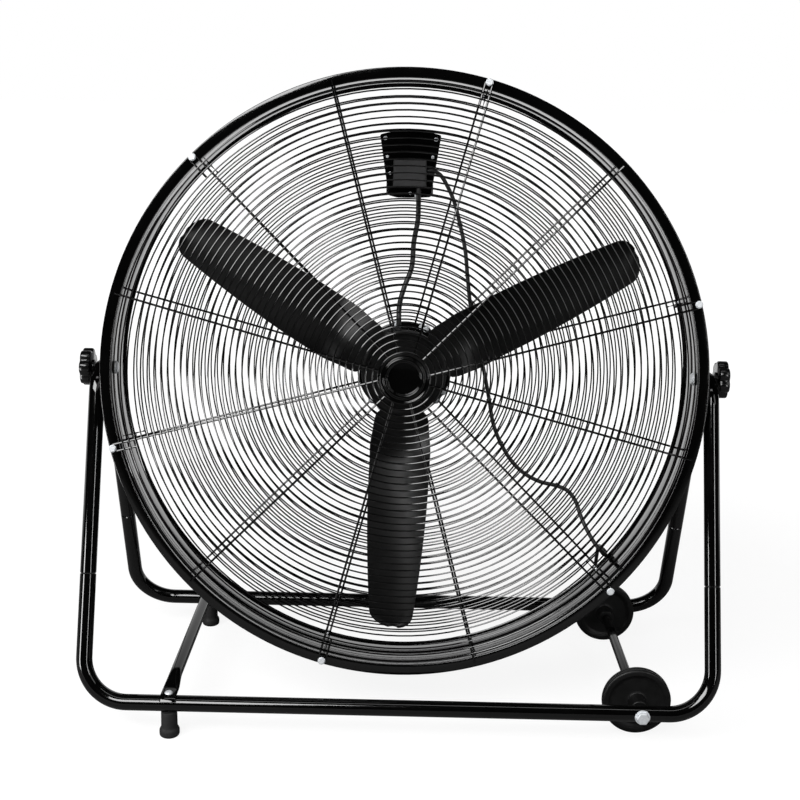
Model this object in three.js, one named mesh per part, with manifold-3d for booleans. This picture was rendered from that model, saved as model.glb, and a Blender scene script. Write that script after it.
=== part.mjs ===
// Drum fan on a tilting tubular stand. Millimetres, +Z up, +X to the right, the fan blows towards -Y.
// The origin is on the floor, midway between the two base tubes.
import * as THREE from 'three';
import { mergeVertices } from 'three/addons/utils/BufferGeometryUtils.js';
import Module from 'manifold-3d';

const wasm = await Module();
wasm.setup();

// ---- driving dimensions ----
const clear = 0.3;              // running and seating gap between neighbouring pieces

const tiltBack = 8.5;           // degrees the drum leans back as it stands

const drumRimRadius = 485;      // outside of both rims
const drumFloorGap = 65;        // from an upright drum's rims to the floor
const drumDepth = 160;          // front rim face to rear rim face
const drumWallInset = 3;        // from the rims in to the outside of the sheet wall
const sheet = 2;                // drum sheet thickness
const frontLipWidth = 17;       // flat lip that the front guard is screwed to
const rearLipWidth = 8;
const rimBand = 7;              // how far each rim is turned along the wall
const drumSides = 48;

const ribCount = 12;
const ribStart = 15;            // degrees, first rib above +X
const guardWire = 3.4;          // rib and ring wire
const guardDome = 21;           // how far the guard's middle stands proud of its edge
const guardEdgeInset = 24;      // from the rims in to the outermost ring
const frontRingPitch = 97.5;    // every ninth wire ring
const rearRingPitch = 95.1;
const ringCount = 5;
const guardEyeRadius = 38;      // ring under the badge and under the motor plate
const frontScrewInset = 6;      // from the rims in to the screws
const rearScrewInset = 4;
const screwShank = 2.2;
const frontScrewHead = 6;
const rearScrewHead = 4.4;
const screwHeadHeight = 3;
const screwLength = 9;

const badgeRadius = 42;
const badgeThickness = 3;
const badgeRingRadius = 29.5;   // middle of the raised ring
const badgeRingWidth = 5;
const badgeRingHeight = 4.5;

const shaftRadius = 6;
const hubRadius = 70;
const hubFace = -9;             // front of the hub disc along the drum axis
const hubThickness = 3;
const hubBossRadius = 20;
const hubBossFront = 7;         // boss ahead of the disc
const hubBossBack = 16;         // boss behind the disc
const nutRadius = 9.5;
const nutHeight = 8;

const bladeCount = 3;
const bladeStart = 28;          // degrees, first blade's centre line above +X
const bladeThickness = 2;
const bladeRootRadius = 50;
const bladeFlatEnd = 84;        // the root is flat up to here
const bladeTipGap = 54;         // from the outside of the sheet wall in to the tips
const bladeRootWidth = 92;
const bladeWidth = 114;
const bladeTipWidth = 52;
const bladePitchInner = 30;     // degrees
const bladePitchTip = 15;
const bladeCamber = 7;

const motorRadius = 68;
const motorFront = 18;          // front of the motor along the drum axis
const motorSplit = 46;          // where the two covers meet
const motorWall = 3;
const motorNose = 54;           // radius of the flat front and rear faces
const motorChamfer = 8;
const bearingRadius = 16;
const bearingWidth = 9;
const bearingSeatWall = 4;
const rotorRadius = 42;
const airGap = 0.6;
const statorMargin = 6;         // stator ends clear of the covers
const mountPlateRadius = 80;
const mountPlateThickness = 2.5;

const switchX = 3;              // middle of the switch plate
const switchPlateTop = 398;     // heights above the drum axis
const switchPlateBottom = 294;
const switchPlateArch = 8;
const switchPlateTopHalf = 52;
const switchPlateBottomHalf = 36;
const switchPlateThickness = 2;
const terminalWidth = 56;
const terminalTop = 354;
const terminalBottom = 309;
const terminalDepth = 25;
const housingWidth = 76;
const housingTop = 392;
const housingBottom = 300;
const housingDepth = 42;
const housingWall = 2.5;
const housingBossRadius = 3.5;  // screw bosses that reach the switch plate between the guard's wires
const housingBossHalf = 30;     // half their spacing
const capacitorSize = [44, 22, 26];
const speedKnobRadius = 17;
const speedKnobHeight = 15;
const speedSpindle = 4;

const motorLeadDiameter = 8.6;
const mainsDiameter = 6.8;
const glandInset = 15;          // from the rims in, between the rear lip and the outermost ring
const glandAngle = -41.4;       // degrees
const glandFlange = 5.8;
const glandLength = 34;

const tubeRadius = 12.7;
const tubeWall = 1.8;
const tubeHeight = 55;          // base tube and axle centre above the floor
const standDepth = 420;         // front base tube to rear base tube
const standGap = 13.5;          // from the rims out to the side tubes' centre line
const baseBend = 70;
const crownBend = 50;
const jointHeight = 244;        // where base legs and side tubes meet
const spigotLength = 40;
const spigotStep = 3;
const tubeSides = 10;
const tubeBendSteps = 4;

const crossInset = 137.5;       // from the left side tube in to the cross member
const crossRadius = 10;
const crossWall = 1.5;
const crossFlatHalfWidth = 13;
const crossFlatHalfHeight = 2;
const crossFlatLength = 28;
const crossSwell = 45;
const crossOverhang = 13;
const footRadius = 16;
const footTopRadius = 12.5;
const footFlare = 10;
const crossBoltRadius = 3;
const crossBoltHead = 6;
const crossBoltHeadHeight = 3.5;
const crossBoltDepth = 14;      // how far it reaches into the foot

const axleInset = 113.5;        // from the right side tube in to the axle
const axleRadius = 6;
const axleHead = 10.5;          // across corners / 2 of its hexagon head and nut
const axleHeadHeight = 7;
const wheelRadius = 55;
const wheelWidth = 16;
const wheelHubRadius = 14;
const wheelWeb = 8;
const wheelRimRadius = 42;
const frontWheelInset = 45;     // tyre middle to base tube centre
const rearWheelInset = 28;
const spacerRadius = 8;

const pivotBoltRadius = 4;
const pivotBoltHead = 11;
const pivotBoltHeadHeight = 5;
const pivotWasherRadius = 12;
const knobRadius = 31;
const knobLobes = 7;
const knobLobeDepth = 4;
const knobWidth = 17;
const knobBossRadius = 12;
const knobBossLength = 3;
const knobBore = 13;

// The loose lead lies here, in world millimetres: down behind the rear wheel, then in a coil.
const dropX = 367;
const coilY = 295;
const coilRadius = 37.9;        // middle of the turns
const coilPitch = 7.6;
const coilTurnsDown = 1.5;      // turns on the floor, winding in
const coilTurnsUp = 1.3;        // turns on top of them, winding out
const coilRise = 0.36;          // share of a turn in which the end climbs to the plug
const coilDraw = 11;            // how far the end is drawn inwards over the turns
const coilSteps = 24;
const coilSides = 6;
const plugRadius = 17;
const plugLength = 32;
const pinRadius = 2.4;
const pinLength = 19;
const pinSpacing = 19;

// ---- materials ----
const finish = (color, roughness, metalness) =>
  new THREE.MeshStandardMaterial({ color, roughness, metalness });
const glossBlack = () => finish(0x101011, 0.22, 0.0);
const satinBlack = () => finish(0x161617, 0.42, 0.0);
const plasticBlack = () => finish(0x141414, 0.5, 0.0);
const rubberBlack = () => finish(0x181818, 0.8, 0.0);
const zinc = () => finish(0xc4c8cc, 0.3, 1.0);
const steelGrey = () => finish(0x83878b, 0.38, 1.0);
const copper = () => finish(0xa8683c, 0.4, 0.9);
const pvcBlack = () => finish(0x121212, 0.55, 0.0);

// ---- geometry helpers ----
const rad = THREE.MathUtils.degToRad;
const vec = (x, y, z) => new THREE.Vector3(x, y, z);

// Merges shared corners, drops collapsed faces and turns every face outwards.
function closed(geometry) {
  geometry.deleteAttribute('normal');
  geometry.deleteAttribute('uv');
  const merged = mergeVertices(geometry, 1e-4);
  const from = merged.index.array;
  const faces = [];
  for (let i = 0; i < from.length; i += 3) {
    const [a, b, c] = [from[i], from[i + 1], from[i + 2]];
    if (a !== b && b !== c && c !== a) faces.push(a, b, c);
  }
  const p = merged.attributes.position;
  const at = (i) => vec(p.getX(i), p.getY(i), p.getZ(i));
  let volume = 0;
  for (let i = 0; i < faces.length; i += 3) {
    volume += at(faces[i]).dot(at(faces[i + 1]).cross(at(faces[i + 2])));
  }
  if (volume < 0) {
    for (let i = 0; i < faces.length; i += 3) {
      [faces[i + 1], faces[i + 2]] = [faces[i + 2], faces[i + 1]];
    }
  }
  merged.setIndex(faces);
  return merged;
}

function toSolid(geometry) {
  const g = closed(geometry);
  return new wasm.Manifold(new wasm.Mesh({
    numProp: 3,
    vertProperties: new Float32Array(g.attributes.position.array),
    triVerts: new Uint32Array(g.index.array),
  }));
}

function fromSolid(solid) {
  const m = solid.getMesh();
  const g = new THREE.BufferGeometry();
  g.setAttribute('position', new THREE.BufferAttribute(new Float32Array(m.vertProperties), 3));
  g.setIndex(new THREE.BufferAttribute(new Uint32Array(m.triVerts), 1));
  return g;
}

function cut(geometry, ...tools) {
  return fromSolid(tools.reduce((s, t) => s.subtract(toSolid(t)), toSolid(geometry)));
}

function join(geometry, ...others) {
  return fromSolid(others.reduce((s, t) => s.add(toSolid(t)), toSolid(geometry)));
}

// A turned piece about the Y axis, from [radius, place along Y] pairs.
function turned(profile, sides) {
  const start = profile[0];
  const onAxis = start[0] === 0;
  const loop = onAxis ? profile : [...profile, start];
  return closed(new THREE.LatheGeometry(loop.map(([r, y]) => new THREE.Vector2(r, y)), sides));
}

function rod(radius, from, to, sides = 12) {
  return turned([[0, from], [radius, from], [radius, to], [0, to]], sides);
}

function sleeve(inner, outer, from, to, sides = 20) {
  return turned([[inner, from], [outer, from], [outer, to], [inner, to]], sides);
}

// A hexagon nut with a round bore.
function nut(bore, radius, from, to) {
  return cut(rod(radius, from, to, 6), rod(bore, from - 1, to + 1, 14));
}

function block(sizeX, sizeY, sizeZ, x, y, z) {
  return new THREE.BoxGeometry(sizeX, sizeY, sizeZ).translate(x, y, z);
}

// The Y axis turned to the X axis, or to the Z axis.
const alongX = (g) => g.rotateZ(-Math.PI / 2);
const alongZ = (g) => g.rotateX(Math.PI / 2);
// A piece made on the right, as it is or mirrored to the left.
const onSide = (g, side) => closed(g.scale(side, 1, 1));

// A flat outline in X and Z, thickened along Y from one place to another.
function plate(shape, from, to) {
  const g = new THREE.ExtrudeGeometry(shape, { depth: to - from, bevelEnabled: false, curveSegments: 6 });
  return closed(g.rotateX(Math.PI / 2).translate(0, to, 0));
}

// A hollow bar through stations of {centre, u, v, outer: [ru, rv], inner: [ru, rv]}. Its first corner is
// on u, or turned from it by a share of a side.
function hollowBar(stations, sides, turn = 0) {
  const position = [];
  const index = [];
  const ring = (s, radii) => {
    for (let k = 0; k < sides; k += 1) {
      const a = (2 * Math.PI * (k + turn)) / sides;
      const p = s.centre.clone().addScaledVector(s.u, radii[0] * Math.cos(a));
      p.addScaledVector(s.v, radii[1] * Math.sin(a));
      position.push(p.x, p.y, p.z);
    }
  };
  stations.forEach((s) => { ring(s, s.outer); ring(s, s.inner); });
  const quad = (a, b, c, d) => index.push(a, b, c, a, c, d);
  const at = (station, inner, k) => (2 * station + inner) * sides + (k % sides);
  const last = stations.length - 1;
  for (let k = 0; k < sides; k += 1) {
    for (let i = 0; i < last; i += 1) {
      quad(at(i, 0, k), at(i, 0, k + 1), at(i + 1, 0, k + 1), at(i + 1, 0, k));
      quad(at(i, 1, k), at(i + 1, 1, k), at(i + 1, 1, k + 1), at(i, 1, k + 1));
    }
    quad(at(0, 0, k), at(0, 1, k), at(0, 1, k + 1), at(0, 0, k + 1));
    quad(at(last, 0, k), at(last, 0, k + 1), at(last, 1, k + 1), at(last, 1, k));
  }
  const g = new THREE.BufferGeometry();
  g.setAttribute('position', new THREE.Float32BufferAttribute(position, 3));
  g.setIndex(index);
  return closed(g);
}

// Stations of a round tube that follows points lying in one plane.
function tubeStations(points, normal, outer, inner) {
  return points.map((centre, i) => {
    const before = points[Math.max(i - 1, 0)];
    const after = points[Math.min(i + 1, points.length - 1)];
    const tangent = after.clone().sub(before).normalize();
    const v = tangent.clone().cross(normal).normalize();
    return { centre, u: normal, v, outer: [outer, outer], inner: [inner, inner] };
  });
}

// A round cord along a smooth curve, as steps of a regular polygon.
function cord(curve, radius, steps, sides) {
  const shape = new THREE.Shape();
  for (let k = 0; k < sides; k += 1) {
    const a = (2 * Math.PI * k) / sides;
    if (k === 0) shape.moveTo(radius, 0);
    else shape.lineTo(radius * Math.cos(a), radius * Math.sin(a));
  }
  shape.closePath();
  return closed(new THREE.ExtrudeGeometry(shape, { extrudePath: curve, steps, bevelEnabled: false }));
}

const smooth = (points) => new THREE.CatmullRomCurve3(points.map((p) => vec(...p)), false, 'centripetal');

// ---- worked-out radii and places across ----
const pivotHeight = drumFloorGap + drumRimRadius;        // tilt axis above the floor
const drumWallRadius = drumRimRadius - drumWallInset;
const guardEdgeRadius = drumRimRadius - guardEdgeInset;
const frontScrewRadius = drumRimRadius - frontScrewInset;
const rearScrewRadius = drumRimRadius - rearScrewInset;
const bladeTipRadius = drumWallRadius - bladeTipGap;
const glandRadius = drumRimRadius - glandInset;
const standHalfWidth = drumRimRadius + standGap;
const crossX = crossInset - standHalfWidth;
const axleX = standHalfWidth - axleInset;

// ---- worked-out places, along the drum axis (front is negative) ----
const drumFront = -drumDepth / 2;
const drumRear = drumDepth / 2;
const wallInside = drumWallRadius - sheet;
const guardTop = (r) => guardDome * Math.max(0, 1 - (r / guardEdgeRadius) ** 2);
const guardSeat = drumDepth / 2 + clear;               // inner face of a guard at its edge
const guardFace = guardSeat + guardWire;               // outer face of a guard at its edge
const guardInside = (r) => guardSeat + guardTop(r);
const guardOutside = (r) => guardFace + guardTop(r);
const mountPlateRear = guardInside(mountPlateRadius) - clear;
const motorRear = mountPlateRear - mountPlateThickness - clear;
const switchPlateRear = guardInside(switchPlateTop + switchPlateArch) - clear;
const switchPlateFront = switchPlateRear - switchPlateThickness;
const terminalRear = switchPlateFront - clear;
const terminalFront = terminalRear - terminalDepth;
const housingFront = guardOutside(housingBottom) + clear;
const housingRear = housingFront + housingDepth;
const screwAngles = Array.from({ length: 6 }, (_, k) => ribStart + 60 * k);

// ---- drum ----
function drumShell() {
  const lip = drumRimRadius - frontLipWidth;
  const rearLip = drumRimRadius - rearLipWidth;
  const step = drumRimRadius - drumWallRadius;
  const shell = turned([
    [lip, drumFront], [drumRimRadius, drumFront], [drumRimRadius, drumFront + rimBand],
    [drumWallRadius, drumFront + rimBand + step],
    [drumWallRadius, drumRear - rimBand - step], [drumRimRadius, drumRear - rimBand],
    [drumRimRadius, drumRear], [rearLip, drumRear], [rearLip, drumRear - sheet],
    [wallInside, drumRear - sheet], [wallInside, drumFront + sheet], [lip, drumFront + sheet],
  ], drumSides);
  const reach = 12;
  const holes = screwAngles.flatMap((angle) => [
    screwPlace(rod(screwShank + clear, drumFront - 1, drumFront + reach, 8), frontScrewRadius, angle),
    screwPlace(rod(screwShank + clear, drumRear - reach, drumRear + 1, 8), rearScrewRadius, angle),
  ]);
  const pivots = [-1, 1].map((side) => alongX(rod(pivotBoltRadius + clear, side * (wallInside - reach),
    side * (drumRimRadius + reach), 10)));
  return cut(shell, ...holes, ...pivots);
}

function screwPlace(geometry, radius, angle) {
  return geometry.translate(radius * Math.cos(rad(angle)), 0, radius * Math.sin(rad(angle)));
}

function guardScrew(front, angle) {
  const way = front ? -1 : 1;
  const seat = way * (guardFace + clear);
  const head = front ? frontScrewHead : rearScrewHead;
  const top = seat + way * screwHeadHeight;
  const tip = seat - way * screwLength;
  const screw = turned([[0, top], [head * 0.7, top], [head, seat], [screwShank, seat], [screwShank, tip],
    [0, tip]], 8);
  return screwPlace(screw, front ? frontScrewRadius : rearScrewRadius, angle);
}

// ---- guards: twelve ribs and their rings, as one welded net ----
// The angle that half a wire's width takes at a radius.
const halfAngle = (r) => THREE.MathUtils.radToDeg(Math.asin(guardWire / 2 / r));

function guard(front) {
  const way = front ? -1 : 1;
  const pitch = front ? frontRingPitch : rearRingPitch;
  const screwRadius = front ? frontScrewRadius : rearScrewRadius;
  const half = guardWire / 2;
  const step = 360 / ribCount;
  const ribs = Array.from({ length: ribCount }, (_, k) => ribStart + step * k);
  const rings = Array.from({ length: ringCount }, (_, i) => guardEdgeRadius - i * pitch);
  rings.push(guardEyeRadius);
  const position = [];
  const index = [];
  // Each point is made twice: on the inner face, and next to it in the list, on the outer face.
  const point = (r, angle) => {
    const [x, z] = [r * Math.cos(rad(angle)), r * Math.sin(rad(angle))];
    position.push(x, way * guardInside(r), z, x, way * guardOutside(r), z);
    return position.length / 3 - 2;
  };
  const face = (a, b, c, d) => index.push(a, b, c, a, c, d, a + 1, c + 1, b + 1, a + 1, d + 1, c + 1);
  const wall = (a, b) => index.push(a, a + 1, b + 1, a, b + 1, b);
  const pair = (r, middle) => [point(r, middle - halfAngle(r)), point(r, middle + halfAngle(r))];

  const joints = rings.map((ring) => ribs.map((middle) => ({
    outer: pair(ring + half, middle), inner: pair(ring - half, middle) })));
  joints.forEach((row, i) => row.forEach(({ outer, inner }, k) => {
    face(outer[0], outer[1], inner[1], inner[0]);
    // the rib outwards of this ring, or its tab on the rim
    const tab = k % 2 === 0 ? screwRadius - screwShank - clear : screwRadius;
    const end = i === 0 ? pair(tab, ribs[k]) : joints[i - 1][k].inner;
    face(end[0], end[1], outer[1], outer[0]);
    wall(end[1], outer[1]);
    wall(outer[0], end[0]);
    if (i === 0) wall(end[0], end[1]);
    if (i === rings.length - 1) wall(inner[1], inner[0]);
    // the ring on to the next rib
    const next = row[(k + 1) % ribCount];
    const steps = i < ringCount - 1 ? 2 : 1;
    const along = (r, from, to) => {
      const swing = halfAngle(r);
      const between = Array.from({ length: steps - 1 }, (_, j) =>
        point(r, ribs[k] + swing + ((step - 2 * swing) * (j + 1)) / steps));
      return [from, ...between, to];
    };
    const outside = along(rings[i] + half, outer[1], next.outer[0]);
    const inside = along(rings[i] - half, inner[1], next.inner[0]);
    for (let j = 0; j < steps; j += 1) {
      face(outside[j], outside[j + 1], inside[j + 1], inside[j]);
      wall(outside[j], outside[j + 1]);
      wall(inside[j + 1], inside[j]);
    }
  }));
  const net = new THREE.BufferGeometry();
  net.setAttribute('position', new THREE.Float32BufferAttribute(position, 3));
  net.setIndex(index);
  return closed(net);
}

function guardBadge() {
  const back = -(guardOutside(0) + clear);
  const face = back - badgeThickness;
  const inner = badgeRingRadius - badgeRingWidth / 2;
  const outer = badgeRingRadius + badgeRingWidth / 2;
  return turned([[0, back], [badgeRadius, back], [badgeRadius, back - badgeThickness * 0.7],
    [badgeRadius - 2, face], [outer, face], [outer - 1, face - badgeRingHeight],
    [inner + 1, face - badgeRingHeight], [inner, face], [0, face - 1]], 24);
}

// ---- rotor ----
function bladeHub() {
  const back = hubFace + hubThickness;
  const bore = shaftRadius + clear;
  return turned([[bore, hubFace - hubBossFront], [hubBossRadius - 3, hubFace - hubBossFront],
    [hubBossRadius, hubFace], [hubRadius - 1, hubFace], [hubRadius, hubFace + 1], [hubRadius, back],
    [hubBossRadius, back], [hubBossRadius, hubFace + hubBossBack], [bore, hubFace + hubBossBack]], 20);
}

function hubNut() {
  const seat = hubFace - hubBossFront - clear;
  return nut(shaftRadius + clear, nutRadius, seat - nutHeight, seat);
}

// A pressed paddle: flat where it is bolted behind the hub disc, then pitched and cambered.
function blade(index) {
  const rows = 9;
  const columns = 6;
  const rootSeat = hubFace + hubThickness + clear + bladeThickness / 2;
  const top = [];
  const bottom = [];
  for (let i = 0; i <= rows; i += 1) {
    const t = i / rows;
    const r = bladeRootRadius + (bladeTipRadius - bladeRootRadius) * (t < 0.25 ? t * 0.72 : (t - 0.0934) / 0.9066);
    const s = THREE.MathUtils.smoothstep(r, bladeFlatEnd, bladeFlatEnd + 70);
    const outward = THREE.MathUtils.clamp((r - bladeFlatEnd - 70) / (bladeTipRadius - bladeFlatEnd - 70), 0, 1);
    const pitch = rad(s * (bladePitchInner + (bladePitchTip - bladePitchInner) * outward));
    const swell = bladeRootWidth + (bladeWidth - bladeRootWidth) * s;
    let width = swell + (bladeTipWidth * 1.35 - swell) * outward ** 1.6;
    const tipRound = Math.max(0, (r - (bladeTipRadius - 26)) / 26);
    width *= Math.sqrt(Math.max(0.16, 1 - 0.84 * tipRound ** 2));
    for (let j = 0; j <= columns; j += 1) {
      const w = (j / columns - 0.5) * width;
      const lift = s * bladeCamber * (1 - (2 * j / columns - 1) ** 2);
      const side = w * Math.cos(pitch) + lift * Math.sin(pitch);
      const depth = rootSeat - w * Math.sin(pitch) + lift * Math.cos(pitch);
      const normal = [Math.sin(pitch), Math.cos(pitch)];
      const h = bladeThickness / 2;
      top.push([r, side - normal[0] * h, depth - normal[1] * h]);
      bottom.push([r, side + normal[0] * h, depth + normal[1] * h]);
    }
  }
  const angle = rad(bladeStart + (360 / bladeCount) * index);
  const position = [...top, ...bottom].flatMap(([r, side, depth]) => [
    r * Math.cos(angle) - side * Math.sin(angle), depth, r * Math.sin(angle) + side * Math.cos(angle)]);
  const id = (i, j, layer) => layer * (rows + 1) * (columns + 1) + i * (columns + 1) + j;
  const faces = [];
  const quad = (a, b, c, d) => faces.push(a, b, c, a, c, d);
  for (let i = 0; i < rows; i += 1) {
    for (let j = 0; j < columns; j += 1) {
      quad(id(i, j, 0), id(i + 1, j, 0), id(i + 1, j + 1, 0), id(i, j + 1, 0));
      quad(id(i, j, 1), id(i, j + 1, 1), id(i + 1, j + 1, 1), id(i + 1, j, 1));
    }
    quad(id(i, 0, 0), id(i, 0, 1), id(i + 1, 0, 1), id(i + 1, 0, 0));
    quad(id(i, columns, 0), id(i + 1, columns, 0), id(i + 1, columns, 1), id(i, columns, 1));
  }
  for (let j = 0; j < columns; j += 1) {
    quad(id(0, j, 0), id(0, j + 1, 0), id(0, j + 1, 1), id(0, j, 1));
    quad(id(rows, j, 0), id(rows, j, 1), id(rows, j + 1, 1), id(rows, j + 1, 0));
  }
  const g = new THREE.BufferGeometry();
  g.setAttribute('position', new THREE.Float32BufferAttribute(position, 3));
  g.setIndex(faces);
  return closed(g);
}

// ---- motor ----
const seatBore = bearingRadius + clear;
const frontSeat = motorFront + motorWall;
const rearSeat = motorRear - motorWall;

function motorFrontCover() {
  return turned([[shaftRadius + 1.5, motorFront], [motorNose, motorFront],
    [motorRadius, motorFront + motorChamfer], [motorRadius, motorSplit], [motorRadius - motorWall, motorSplit],
    [motorRadius - motorWall, motorFront + motorChamfer + 1], [motorNose, frontSeat + 1],
    [seatBore + bearingSeatWall, frontSeat + 1], [seatBore + bearingSeatWall, frontSeat + bearingWidth + 1],
    [seatBore, frontSeat + bearingWidth + 1], [seatBore, frontSeat], [shaftRadius + 1.5, frontSeat]], 20);
}

function motorRearCover() {
  const split = motorSplit + clear;
  return turned([[0, rearSeat], [seatBore, rearSeat], [seatBore, rearSeat - bearingWidth - 1],
    [seatBore + bearingSeatWall, rearSeat - bearingWidth - 1], [seatBore + bearingSeatWall, rearSeat - 1],
    [motorNose, rearSeat - 1], [motorRadius - motorWall, motorRear - motorChamfer - 1],
    [motorRadius - motorWall, split], [motorRadius, split], [motorRadius, motorRear - motorChamfer],
    [motorNose, motorRear], [0, motorRear]], 20);
}

const statorFront = motorFront + motorChamfer + statorMargin;
const statorRear = motorRear - motorChamfer - statorMargin;
const stator = () => sleeve(rotorRadius + airGap, motorRadius - motorWall - clear, statorFront, statorRear, 20);
const rotorCore = () => sleeve(shaftRadius + clear, rotorRadius, statorFront + 2, statorRear - 2, 20);
const motorShaft = () => rod(shaftRadius, hubFace - hubBossFront - nutHeight - 2, rearSeat - clear, 14);
const bearing = (from) => sleeve(shaftRadius + clear, bearingRadius, from, from + bearingWidth, 14);
const mountPlate = () => rod(mountPlateRadius, mountPlateRear - mountPlateThickness, mountPlateRear, 32);

// ---- switch ----
function switchPlate() {
  const outline = new THREE.Shape();
  outline.moveTo(switchX - switchPlateTopHalf, switchPlateTop);
  outline.quadraticCurveTo(switchX, switchPlateTop + 2 * switchPlateArch, switchX + switchPlateTopHalf,
    switchPlateTop);
  outline.lineTo(switchX + switchPlateBottomHalf, switchPlateBottom);
  outline.lineTo(switchX - switchPlateBottomHalf, switchPlateBottom);
  outline.closePath();
  return plate(outline, switchPlateFront, switchPlateRear);
}

function terminalCover() {
  const height = terminalTop - terminalBottom;
  const middle = (terminalTop + terminalBottom) / 2;
  const body = block(terminalWidth, terminalDepth, height, switchX, (terminalFront + terminalRear) / 2, middle);
  const hollow = block(terminalWidth - 2 * housingWall, terminalDepth, height - 2 * housingWall, switchX,
    (terminalFront + terminalRear) / 2 + housingWall, middle);
  return cut(body, hollow);
}

const housingMiddle = (housingTop + housingBottom) / 2;

function switchHousing() {
  const height = housingTop - housingBottom;
  const y = (housingFront + housingRear) / 2;
  const body = block(housingWidth, housingDepth, height, switchX, y, housingMiddle);
  const hollow = block(housingWidth - 2 * housingWall, housingDepth, height - 2 * housingWall, switchX,
    y - housingWall, housingMiddle);
  const spindle = rod(speedSpindle + clear, housingRear - 10, housingRear + 1, 12)
    .translate(switchX, 0, housingMiddle);
  const bosses = [-1, 1].map((side) => rod(housingBossRadius, switchPlateRear + clear,
    housingRear - housingWall / 2, 8).translate(switchX + side * housingBossHalf, 0, housingMiddle));
  return join(cut(body, hollow, spindle), ...bosses);
}

function runCapacitor() {
  const [sx, sy, sz] = capacitorSize;
  const back = housingRear - housingWall - clear;
  return block(sx, sy, sz, switchX, back - sy / 2, housingBottom + housingWall + clear + sz / 2);
}

function speedKnob() {
  const seat = housingRear + clear;
  const knob = turned([[0, seat - 8], [speedSpindle, seat - 8], [speedSpindle, seat], [speedKnobRadius, seat],
    [speedKnobRadius, seat + 4], [speedKnobRadius - 3, seat + speedKnobHeight - 1],
    [speedKnobRadius - 4, seat + speedKnobHeight], [0, seat + speedKnobHeight]], 20);
  const pointer = block(4, 2, speedKnobRadius - 2, 0, seat + speedKnobHeight, (speedKnobRadius - 2) / 2);
  return join(knob, pointer).translate(switchX, 0, housingMiddle);
}

// ---- leads held by the drum: [right, back along the axis, up] from the drum's centre ----
const motorLeadRoute = [
  [18, 68, terminalBottom - clear], [18, 68, 302], [18.3, 71, 290], [18.5, 78, 275], [18, 84, 255],
  [12, 87, 218], [9, 87, 174], [-2, 84, 143], [-9, 75, 118], [-11, 66, 101], [-11, 63, 90],
  [-11, 63, motorRadius + clear],
];

function motorLead() {
  return cord(smooth(motorLeadRoute), motorLeadDiameter / 2, 18, 8);
}

const glandX = glandRadius * Math.cos(rad(glandAngle));
const glandZ = glandRadius * Math.sin(rad(glandAngle));
const glandFront = guardSeat - 6;
const mainsRoute = [
  [switchX + terminalWidth / 2 + clear, 70, 337], [42, 70, 337], [54, 72, 331], [66, 77, 314], [79, 82, 287],
  [90, 87, 249], [100, 89, 206], [105, 91, 163], [111, 92, 115], [123, 92.5, 58], [138, 93, -3],
  [148, 93, -51], [156, 92.5, -92], [170, 91.5, -126], [190, 90, -157], [213, 88.5, -178], [240, 86.5, -191],
  [268, 84.5, -197], [287, 81.5, -205], [300, 77, -221], [308, 70, -243], [318, 59, -266], [331, 48, -288],
  [343, 43, -302], [350.5, 48, -309], [glandX, 60, glandZ], [glandX, glandFront - clear, glandZ],
];

function mainsLead() {
  return cord(smooth(mainsRoute), mainsDiameter / 2, 46, 8);
}

// The gland sits between the outermost ring and the rear lip, with a flange either side of it.
function cordGland() {
  const back = glandFront + glandLength;
  const waist = glandFlange - 1;
  const r = mainsDiameter / 2;
  return turned([[0, glandFront], [waist, glandFront], [glandFlange, glandFront + 1],
    [glandFlange, glandFront + 5], [waist, glandFront + 6], [waist, guardFace + 2], [waist + 0.6, guardFace + 4],
    [r + 0.8, back], [0, back]], 14).translate(glandX, 0, glandZ);
}

// ---- stand ----
const crownCentre = pivotHeight - crownBend;
const halfDepth = standDepth / 2;
const spread = Math.atan2(halfDepth, crownCentre - tubeHeight);
const reachToCrown = Math.hypot(halfDepth, crownCentre - tubeHeight);
const lean = spread - Math.asin(crownBend / reachToCrown);      // legs off the vertical
const jointAlong = (jointHeight - tubeHeight) / Math.cos(lean);

// A point of the stand: across, along the leg from the base tube, and -1 front or 1 rear.
const legPoint = (x, along, side) =>
  vec(x, side * (halfDepth - along * Math.sin(lean)), tubeHeight + along * Math.cos(lean));

function bend(centreX, centreS, radius, from, to, steps, side) {
  return Array.from({ length: steps + 1 }, (_, k) => {
    const a = rad(from + ((to - from) * k) / steps);
    return legPoint(centreX + radius * Math.cos(a), centreS + radius * Math.sin(a), side);
  });
}

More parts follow.
